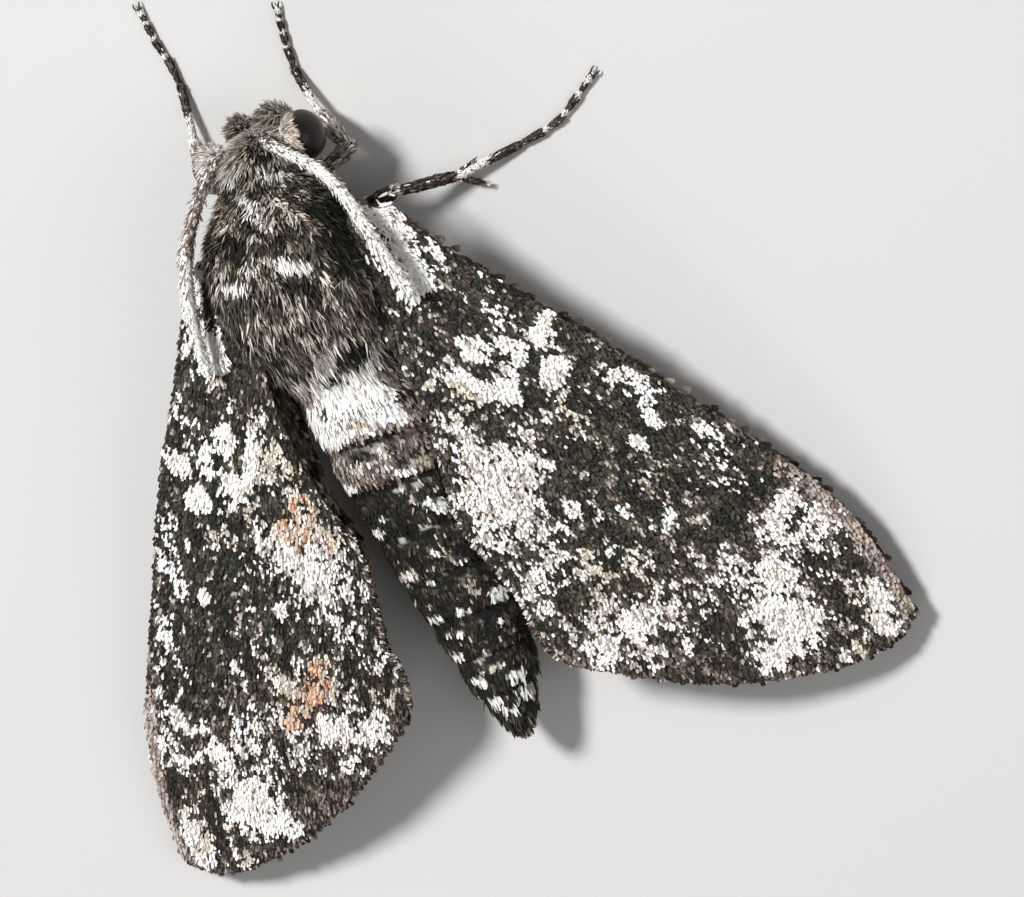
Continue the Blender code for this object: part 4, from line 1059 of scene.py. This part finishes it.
def leg_tones(draw, part, fore, share):
    """Dark brown scales with white rings at the joints; the forelegs are paler."""
    count = len(share)
    recipe = {"soot": 2, "dark_brown": 4, "brown_grey": 1.8, "pink_brown": 0.8}
    if fore and part != "foot":
        recipe = {"dark_brown": 0.6, "brown_grey": 1.8, "pink_brown": 3, "pink_grey": 2.5, "beige": 3,
                  "cream": 2}
    shade = draw.random(count)
    colour = mixed(draw, shade, recipe)
    if part == "foot":
        ring = np.zeros(count)
        for end in [0.02, *FOOT_JOINTS]:
            ring = np.maximum(ring, 1 - smooth_step(0.018, 0.045, np.abs(share - end + 0.005)))
    else:
        ring = np.maximum(smooth_step(0.86, 0.93, share), 1 - smooth_step(0.03, 0.08, share))
    recolour(draw, colour, draw.random(count) < ring * 0.95 + 0.03, shade, {"cream": 2, "white": 7})
    return colour


# Length, width and spacing of the scales on each part of a leg
LEG_SCALES = {"coxa": (0.6, 0.10, 0.19), "femur": (0.42, 0.085, 0.14), "tibia": (0.34, 0.075, 0.12),
              "foot": (0.2, 0.06, 0.1)}


def leg(name, number):
    """A leg's shell with its spurs and claws, and its coat of scales."""
    fore = name.startswith("fore")
    parts = leg_parts(name)
    shells = [rod(part, knots, (len(knots) - 1) * 4) for part, knots in parts.items()]
    spurs = spur_knots(name)
    shells.extend(rod("spur", knots, 8, 3) for knots in spurs)
    way = LEGS[name][4]
    shells.extend(claws(way[-1], Vector(way[-1]) - Vector(way[-2])))
    shell = joined(name + "_shell", shells)
    above_floor(shell)
    draw = np.random.default_rng(SEED + 100 + number)
    groups = []
    for slot_number, (part, knots) in enumerate(list(parts.items()) + [("spur", k) for k in spurs]):
        length, width, gap = LEG_SCALES.get(part, (0.3, 0.07, 0.15))
        here, ahead, out, share, turn = rod_roots(knots, gap * 0.8, width * 0.85, draw)
        colour = leg_tones(draw, "femur" if part == "spur" else part, fore, share)
        count = len(here)
        lift = 0.13 + np.abs(draw.normal(0, 0.09, count))
        lengths = length * draw.uniform(0.75, 1.25, count)
        patch = strip(turn, share, (slot_number + 0.1) / UNWRAP_SLOTS, 0.8 / UNWRAP_SLOTS)
        groups.append((here, ahead, out, lengths, width * draw.uniform(0.8, 1.3, count), lift, colour, patch))
    columns = [np.concatenate(column) for column in zip(*groups)]
    keep = columns[0][:, 2] > LOWEST_ROOT
    here, ahead, out, lengths, widths, lifts, colour, patch = [column[keep] for column in columns]
    # The last of the looks is the painted shade at each scale's root
    looks = (lengths, widths, 0.03, lifts, -0.12, draw.normal(0, 0.15, len(here)), colour, 0.35)
    coat = grow(name + "_scales", SCALE, here, ahead, out, looks, patch)
    above_floor(coat)
    return shell, coat


def above_floor(obj):
    """Presses what would sink into the floor up to it."""
    places = vertex_places(obj.data)
    places[:, 2] = np.maximum(places[:, 2], FLOOR_CLEAR)
    obj.data.vertices.foreach_set("co", places.ravel())
    obj.data.update()


# Where along each feeler, left (1) and right (-1), its brown start has turned white
FEELER_WHITENS = {1: (0.42, 0.6), -1: (0.06, 0.3)}


def feeler(side):
    """A feeler: a shaft of many short rings, laid back along the thorax, that ends in a fine hook."""
    rings = 52
    shares = np.linspace(0, 1, rings * 3 + 1)
    knots = [((side * x, y, z), radius) for (x, y, z), radius in ANTENNA]
    places, radii = rod_line(knots, shares)
    swell = np.tile([0.84, 0.93, 1.0], rings + 1)[:len(shares)]
    shaft = [(tuple(place), max(radius * step, 0.02)) for place, radius, step in zip(places, radii, swell)]
    obj = rod("feeler_shaft", shaft, len(shaft) - 1, 5)
    draw = np.random.default_rng(SEED + 300 + side)
    here, ahead, out, share, turn = rod_roots(knots, 0.09, 0.06, draw)
    count = len(here)
    upper = np.sin(turn) > -0.35
    shade = draw.random(count)
    colour = mixed(draw, shade, {"brown_grey": 2, "pink_brown": 4, "beige": 2})
    whiter = smooth_step(*FEELER_WHITENS[side], share) * upper
    recolour(draw, colour, draw.random(count) < 0.25 * upper + 0.72 * whiter, shade, {"cream": 1, "white": 9})
    ragged = draw.random(count) < 0.12
    lift = np.where(upper, 0.14, 0.5) + np.abs(draw.normal(0, 0.1, count)) + 0.35 * ragged
    # The last of the looks is the painted shade at each scale's root
    looks = (np.where(upper, 0.26, 0.2) * draw.uniform(0.75, 1.25, count) * (1 + 0.4 * ragged),
             0.085 * draw.uniform(0.8, 1.3, count), 0.025, lift, -0.1,
             draw.normal(0, 0.22, count), colour, 0.2)
    return obj, grow("feeler_scales", SCALE, here, ahead, out, looks, strip(turn, share))


def palp(side):
    """A palp: a thick curved stub before the face, covered in short pile."""
    knots = [((side * x, y, z), radius) for (x, y, z), radius in PALP]
    obj = rod("palp_core", knots, 24, 6)
    draw = np.random.default_rng(SEED + 320 + side)
    here, ahead, out, share, turn = rod_roots(knots, 0.085, 0.065, draw)
    count = len(here)
    colour = mixed(draw, draw.random(count), BODY_RECIPES["head"])
    # The last of the looks is the painted shade at each hair's root
    looks = (0.55 * draw.uniform(0.7, 1.3, count), 0.085 * draw.uniform(0.8, 1.3, count), 0.03,
             0.45 + np.abs(draw.normal(0, 0.16, count)), -0.18, draw.normal(0, 0.25, count), colour, 0.3)
    return obj, grow("palp_pile", HAIR, here, ahead, out, looks, strip(turn, share))


# On an eye of radius 1: how far a facet reaches, how high its dome stands, and the surface between domes
FACET_REACH = 0.075
FACET_RISE = 0.014
FACET_FOOT = 0.985


def eye(side):
    """An eye whose surface is raised into a small dome over each facet."""
    nothing_selected()
    bpy.ops.mesh.primitive_ico_sphere_add(subdivisions=4, radius=1)
    coarse = bpy.context.object
    tree = near_tree(vertex_places(coarse.data))
    bpy.data.objects.remove(coarse)
    bpy.ops.mesh.primitive_ico_sphere_add(subdivisions=6, radius=1)
    obj = bpy.context.object
    places = unit(vertex_places(obj.data))
    apart = np.array([tree.find(place)[2] for place in places])
    dome = FACET_RISE * np.cos(np.clip(apart / FACET_REACH, 0, 1) * np.pi / 2)
    places = places * (FACET_FOOT + dome)[:, None] * np.array(EYE_RADII) + eye_middle(side)
    obj.data.vertices.foreach_set("co", places.ravel())
    obj.data.update()
    return obj


BROW_WAY = (0.76, -0.1, 0.62)  # inwards, forwards and up from the middle of an eye
BROW_REACH = math.radians(47)
BROW_HAIRS = 1700
BROW_DEPTH = 0.04


def brow(name, side):
    """Fur that grows over the inner top of an eye and lies back over it."""
    draw = np.random.default_rng(SEED + 460 + side)
    count = BROW_HAIRS
    axis = unit(np.array((-side * BROW_WAY[0], BROW_WAY[1], BROW_WAY[2])))
    level = unit(np.cross(axis, np.array((0.0, 0.0, 1.0))))
    upright = np.cross(level, axis)
    reach = BROW_REACH * np.sqrt(draw.random(count)) * (1 + 0.14 * np.sin(draw.uniform(0, 40, count)))
    round_axis = draw.uniform(0, 2 * np.pi, count)
    spread = np.cos(round_axis)[:, None] * level + np.sin(round_axis)[:, None] * upright
    out = np.cos(reach)[:, None] * axis + np.sin(reach)[:, None] * spread
    here = eye_middle(side) + out * np.array(EYE_RADII)
    away = np.cos(reach)[:, None] * spread - np.sin(reach)[:, None] * axis
    lies = unit(away + np.array((side * 0.15, 0.8, 0.05)))
    colour = mixed(draw, clumped(draw, here[:, :2], 66), BODY_RECIPES["head"])
    # The last of the looks is the painted shade at each hair's root
    looks = (draw.uniform(0.3, 0.6, count), draw.uniform(0.05, 0.085, count), 0.035,
             0.2 + np.abs(draw.normal(0, 0.16, count)), -0.3, draw.normal(0, 0.2, count), colour, 0.3)
    patch = np.stack([0.05 + 0.9 * round_axis / (2 * np.pi), 0.05 + 0.5 * reach], 1)
    return grow(name, HAIR, here - out * BROW_DEPTH, lies, out, looks, patch)


def fringe(side):
    """Long scales along the termen and the rear of the inner margin, darker at the end of each vein."""
    draw = np.random.default_rng(SEED + 400 + side)
    margins = WING_FORMS[True][0]
    groups = []
    for line, count, length in (("termen", 1900, 0.5), ("inner", 1500, 0.36)):
        share = np.sort(draw.random(count))
        if line == "termen":
            place = sheet(np.full(count, 0.992), share, margins)
            inside = sheet(np.full(count, 0.96), share, margins)
            at_vein = np.abs(np.cos(np.pi * FORE_SHARES * share))
        else:
            share = 0.25 + 0.75 * share
            place = sheet(share, np.full(count, 0.995), margins)
            inside = sheet(share - 0.03, np.full(count, 0.95), margins)
            at_vein = np.full(count, 0.3)
        way = unit(place - inside)
        p, q = place[:, 0], place[:, 1]
        _, apexward, across, upper = wing_axes(side)
        lift = arch(p, q) + draw.uniform(-0.06, 0.08, count)
        here = wing_places(side, p, q, lift)
        lies = way[:, :1] * apexward + way[:, 1:] * across
        colour = fore_tones(draw, inside[:, 0], inside[:, 1], side)
        own = draw.random(count) < (0.45 if line == "termen" else 0.25)
        recolour(draw, colour, own, draw.random(count), RECIPES["pink_brown"])
        at_end = draw.random(count) < 0.6 * smooth_step(0.6, 0.9, at_vein)
        recolour(draw, colour, at_end, draw.random(count), RECIPES["dark_brown"])
        lengths = length * draw.uniform(0.6, 1.15, count)
        patch = np.stack([0.02 + 0.96 * share, np.full(count, 0.25 if line == "termen" else 0.75)], 1)
        groups.append((here, lies, np.tile(upper, (count, 1)), lengths, colour, patch))
    here, lies, outs, lengths, colour, patch = [np.concatenate(g) for g in zip(*groups)]
    count = len(here)
    # The last of the looks is the painted shade at each scale's root
    looks = (lengths, 0.085 * draw.uniform(0.7, 1.3, count), 0.025, draw.normal(-0.03, 0.1, count),
             draw.normal(-0.05, 0.05, count), draw.normal(0, 0.22, count), colour, 0.25)
    return grow("wing_fringe", SCALE, here, lies, outs, looks, patch)


# Clumps of long scales at a wing's base: P and Q of their middles
BASE_CLUMPS = {-1: [(0.3, -1.5), (1.0, -1.6), (1.5, -0.9), (2.1, -0.9), (2.3, -0.1), (2.9, -0.6), (3.2, 0.0),
                    (1.1, -0.6)],
               1: [(0.4, -1.5), (1.9, -0.9), (2.4, -0.5), (3.2, 0.0), (3.5, -0.2)]}
CLUMP_SCALES = 46


def base_tuft(side):
    """Ragged long white scales that stand up a little round the wing's base, where the feeler lies."""
    draw = np.random.default_rng(SEED + 440 + side)
    middles = np.repeat(BASE_CLUMPS[side], CLUMP_SCALES, axis=0)
    many = len(middles)
    p, q = (middles + draw.normal(0, 0.22, (many, 2))).T
    p = np.maximum(p, 0.05)
    _, apexward, across, upper = wing_axes(side)
    here = wing_places(side, p, q, arch(p, q) + MEMBRANE)
    turn = np.repeat(draw.normal(0.3, 0.5, len(BASE_CLUMPS[side])), CLUMP_SCALES) + draw.normal(0, 0.3, many)
    lies = np.cos(turn)[:, None] * apexward + np.sin(turn)[:, None] * across
    colour = mixed(draw, draw.random(many), {"pink_grey": 0.6, "cream": 1, "white": 9})
    # The last of the looks is the painted shade at each scale's root
    looks = (draw.uniform(0.4, 0.85, many), draw.uniform(0.08, 0.13, many), 0.03,
             draw.uniform(0.15, 0.55, many), -0.12, draw.normal(0, 0.2, many), colour, 0.2)
    patch = np.stack([0.05 + 0.9 * p / 5, 0.05 + 0.9 * (q + 2.5) / 4], 1)
    return grow("wing_base_tuft", SCALE, here, lies, np.tile(upper, (many, 1)), looks, patch)


# Finishes

def feed(tree, made, inputs):
    """Sets a node's inputs to values, or links them to other nodes' outputs."""
    for key, value in inputs.items():
        if isinstance(value, bpy.types.NodeSocket):
            tree.links.new(value, made.inputs[key])
        else:
            made.inputs[key].default_value = value


def node(tree, kind, inputs=None, **settings):
    made = tree.nodes.new(kind)
    for name, value in settings.items():
        setattr(made, name, value)
    feed(tree, made, inputs or {})
    return made


def powder_group():
    """Varies a colour from scale to scale and roughens its surface, as dust on a moth's scales does."""
    group = bpy.data.node_groups.new("scale_powder", "ShaderNodeTree")
    for name, kind, default in (("Colour", "NodeSocketColor", (0.5, 0.5, 0.5, 1)),
                                ("Grain Size", "NodeSocketFloat", 6000.0),
                                ("Variation", "NodeSocketFloat", 0.25),
                                ("Relief", "NodeSocketFloat", 0.3),
                                ("Base Roughness", "NodeSocketFloat", 0.6)):
        socket = group.interface.new_socket(name=name, in_out="INPUT", socket_type=kind)
        socket.default_value = default
    for name, kind in (("Colour", "NodeSocketColor"), ("Roughness", "NodeSocketFloat"),
                       ("Normal", "NodeSocketVector")):
        group.interface.new_socket(name=name, in_out="OUTPUT", socket_type=kind)
    into = node(group, "NodeGroupInput").outputs
    places = node(group, "ShaderNodeTexCoord").outputs["Object"]
    noise = node(group, "ShaderNodeTexNoise", {"Detail": 3, "Vector": places, "Scale": into["Grain Size"]})
    grain = noise.outputs["Fac"]
    centred = node(group, "ShaderNodeMath", {0: grain, 1: 0.5}, operation="SUBTRACT").outputs[0]
    spread = node(group, "ShaderNodeMath", {0: centred, 1: into["Variation"], 2: 1.0},
                  operation="MULTIPLY_ADD").outputs[0]
    tint = node(group, "ShaderNodeVectorMath", {0: into["Colour"], "Scale": spread}, operation="SCALE")
    rough = node(group, "ShaderNodeMath", {0: centred, 1: 0.3, 2: into["Base Roughness"]},
                 operation="MULTIPLY_ADD")
    bump = node(group, "ShaderNodeBump", {"Distance": 0.00002, "Height": grain, "Strength": into["Relief"]})
    node(group, "NodeGroupOutput", {"Colour": tint.outputs[0], "Roughness": rough.outputs[0],
                                    "Normal": bump.outputs["Normal"]})
    return group


POWDER = powder_group()


def scaly(name, colour=None, grain=6000.0, variation=0.5, relief=0.3, roughness=0.6, sheen=0.0, coat=0.0):
    """A material of powdery scales, coloured by each vertex's own tone or by one colour."""
    made = bpy.data.materials.new(name)
    made.use_nodes = True
    tree = made.node_tree
    if colour:
        tone = (*colour, 1)
    else:
        tone = node(tree, "ShaderNodeAttribute", attribute_name="tone").outputs["Color"]
    powder = node(tree, "ShaderNodeGroup", node_tree=POWDER)
    feed(tree, powder, {"Colour": tone, "Grain Size": grain, "Variation": variation, "Relief": relief,
                        "Base Roughness": roughness})
    feed(tree, tree.nodes["Principled BSDF"], {
        "Base Color": powder.outputs["Colour"], "Roughness": powder.outputs["Roughness"],
        "Normal": powder.outputs["Normal"], "Sheen Weight": sheen, "Coat Weight": coat,
        "Specular IOR Level": 0.2})
    return made


skin_finish = scaly("moth_skin", roughness=0.8)
pile_finish = scaly("moth_pile", grain=9000.0, roughness=0.62, sheen=0.03)
scale_finish = scaly("wing_scales", grain=9000.0, roughness=0.6)
membrane_finish = scaly("wing_membrane", grain=3000.0, roughness=0.7)
shell_finish = scaly("leg_shell", (0.05, 0.036, 0.028), grain=5000.0, roughness=0.5)
feeler_finish = scaly("feeler_shaft", (0.34, 0.27, 0.20), grain=7000.0, roughness=0.6)
eye_finish = scaly("eye", (0.014, 0.009, 0.007), grain=2500.0, variation=0.9, relief=0.0, roughness=0.34,
                   coat=0.12)


# The pieces

def crown(turn):
    """1 on the very top of the body, and 0 from its sides down."""
    return np.clip(np.sin(turn), 0, 1)


def thorax_length(y, turn):
    return np.interp(y, [-4.0, -3.0, -1.0, 1.0, 3.0, 4.5, 5.4], [0.7, 0.7, 0.62, 0.75, 0.95, 1.1, 0.8])


def thorax_lift(y, turn):
    beside = np.interp(y, [-4.0, -1.5, 0.5], [1.5, 1.2, 0.7])
    lift = np.interp(y, [-4.0, -3.0, 0.5, 3.5, 5.0], [0.6, 0.5, 0.42, 0.32, 0.14])
    return lift * (beside + (1 - beside) * crown(turn))


def head_length(y, turn):
    return np.interp(y, [-5.7, -5.2, -4.4, -3.8], [0.5, 0.7, 0.9, 0.9]) * (0.8 + 0.3 * crown(turn))


def head_lift(y, turn):
    return 0.55 + 0.15 * crown(turn)


def abdomen_length(y, turn):
    return np.interp(y, [5.0, 8.0, 19.0, 20.2, 21.4, 22.0], [0.75, 0.45, 0.42, 0.8, 1.1, 0.8])


def abdomen_lift(y, turn):
    return np.interp(y, [5.0, 8.0, 20.0, 22.0], [0.3, 0.14, 0.12, 0.2])


skin = finished(body_skin(), skin_finish)
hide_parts("head", "thorax", "abdomen")

coats = [
    body_coat("head_pile", HAIR, SKIN_LOW, -3.85, 0.07, 0.06,
              (head_length, 0.07, 0.04, head_lift, 0.16, -0.2), (0.05, 0.45), 1),
    body_coat("thorax_under_pile", HAIR, -4.1, 5.5, 0.134, 0.118,
              (thorax_length, 0.112, 0.04, thorax_lift, 0.1, -0.2), (0.03, 0.5), 2),
    body_coat("thorax_pile", HAIR, -4.0, 5.2, 0.125, 0.105,
              (thorax_length, 0.085, 0.035, thorax_lift, 0.2, -0.2), (0.022, 0.6), 3),
    body_coat("abdomen_scales", SCALE, 4.9, SKIN_HIGH, 0.15, 0.108,
              (abdomen_length, 0.12, 0.035, abdomen_lift, 0.07, -0.09), None, 4),
    body_coat("abdomen_hairs", HAIR, 5.0, SKIN_HIGH, 0.24, 0.19,
              (abdomen_length, 0.08, 0.04, abdomen_lift, 0.14, -0.07), (0.05, 0.4), 5),
]
for coat in coats:
    finished(coat, pile_finish)

# Layers of scales on a wing: on its top or not, the gaps between rows and within a row, and the size of a
# scale, as wing_scales takes it
FORE_LAYERS = {
    "forewing_ground_": (True, 0.137, 0.091, (0.28, 0.123, 0.028, 0.12, 0.07)),
    "forewing_cover_": (True, 0.2, 0.15, (0.32, 0.12, 0.03, 0.22, 0.12)),
    "forewing_under_": (False, 0.31, 0.21, (0.52, 0.285, 0.03, 0.08, 0.04)),
}
HIND_LAYERS = {
    "hindwing_upper_": (True, 0.3, 0.2, (0.52, 0.28, 0.03, 0.08, 0.04)),
    "hindwing_under_": (False, 0.3, 0.2, (0.52, 0.28, 0.03, 0.08, 0.04)),
}
SIDES = {"left": 1, "right": -1}
for word, side in SIDES.items():
    fore = finished(wing_sheet("forewing_membrane_" + word, side, True), membrane_finish)
    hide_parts("forewing_" + word)
    hind = finished(wing_sheet("hindwing_membrane_" + word, side, False), membrane_finish)
    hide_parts("hindwing_" + word)
    layers = [wing_scales(name + word, side, True, *form) for name, form in FORE_LAYERS.items()]
    layers += [fringe(side), base_tuft(side)]
    layers[-2].name = "forewing_fringe_" + word
    layers[-1].name = "forewing_base_tuft_" + word
    for layer in layers:
        finished(layer, scale_finish)
    for name, form in HIND_LAYERS.items():
        finished(wing_scales(name + word, side, False, *form), scale_finish)

    ball = eye(side)
    ball.name = "eye_facets_" + word
    finished(ball, eye_finish, math.radians(70))
    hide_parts("eye_" + word)
    finished(brow("eye_fur_" + word, side), pile_finish)

    shaft, coat = feeler(side)
    shaft.name, coat.name = "feeler_shaft_" + word, "feeler_scales_" + word
    finished(shaft, feeler_finish)
    finished(coat, pile_finish)
    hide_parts("antenna_" + word)

    core, coat = palp(side)
    core.name, coat.name = "palp_core_" + word, "palp_pile_" + word
    finished(core, shell_finish)
    finished(coat, pile_finish)
    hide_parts("palp_" + word)

for number, name in enumerate(LEGS):
    shell, coat = leg(name, number)
    finished(shell, shell_finish)
    finished(coat, pile_finish)
    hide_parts(name)


# Floor, light and camera

def floor():
    nothing_selected()
    bpy.ops.mesh.primitive_plane_add(size=3)
    ground = bpy.context.object
    ground.name = "pale_floor"
    paper = bpy.data.materials.new("pale_floor")
    paper.use_nodes = True
    shader = paper.node_tree.nodes["Principled BSDF"]
    shader.inputs["Base Color"].default_value = (0.64, 0.632, 0.615, 1)
    shader.inputs["Roughness"].default_value = 0.85
    ground.data.materials.append(paper)


def lamp(name, place, size, power):
    """A round lamp that faces the moth. Its place and size are in metres, and its power in watts."""
    light = bpy.data.lights.new(name, "AREA")
    light.shape = "DISK"
    light.size = size
    light.energy = power
    obj = bpy.data.objects.new(name, light)
    obj.location = place
    obj.rotation_euler = (-Vector(place)).to_track_quat("-Z", "Y").to_euler()
    bpy.context.scene.collection.objects.link(obj)


floor()
lamp("key_light", (0.12, -0.30, 0.42), 0.13, 3.2)
lamp("fill_light", (-0.38, 0.10, 0.30), 0.35, 0.55)
lamp("rear_light", (0.20, 0.40, 0.28), 0.30, 0.4)

sky = bpy.data.worlds.new("studio")
sky.use_nodes = True
sky.node_tree.nodes["Background"].inputs["Color"].default_value = (0.95, 0.97, 1.0, 1)
sky.node_tree.nodes["Background"].inputs["Strength"].default_value = 0.18
bpy.context.scene.world = sky
bpy.context.scene.view_settings.view_transform = "Standard"

lens = bpy.data.cameras.new("photo_camera")
lens.sensor_width = 36
lens.lens = CAMERA_LENS
lens.clip_start = 0.01
lens.clip_end = 5
camera = bpy.data.objects.new("photo_camera", lens)
camera.location = CAMERA_PLACE
camera.rotation_euler = [math.radians(turn) for turn in CAMERA_TURNS]
bpy.context.scene.collection.objects.link(camera)
bpy.context.scene.camera = camera

bpy.context.view_layer.update()
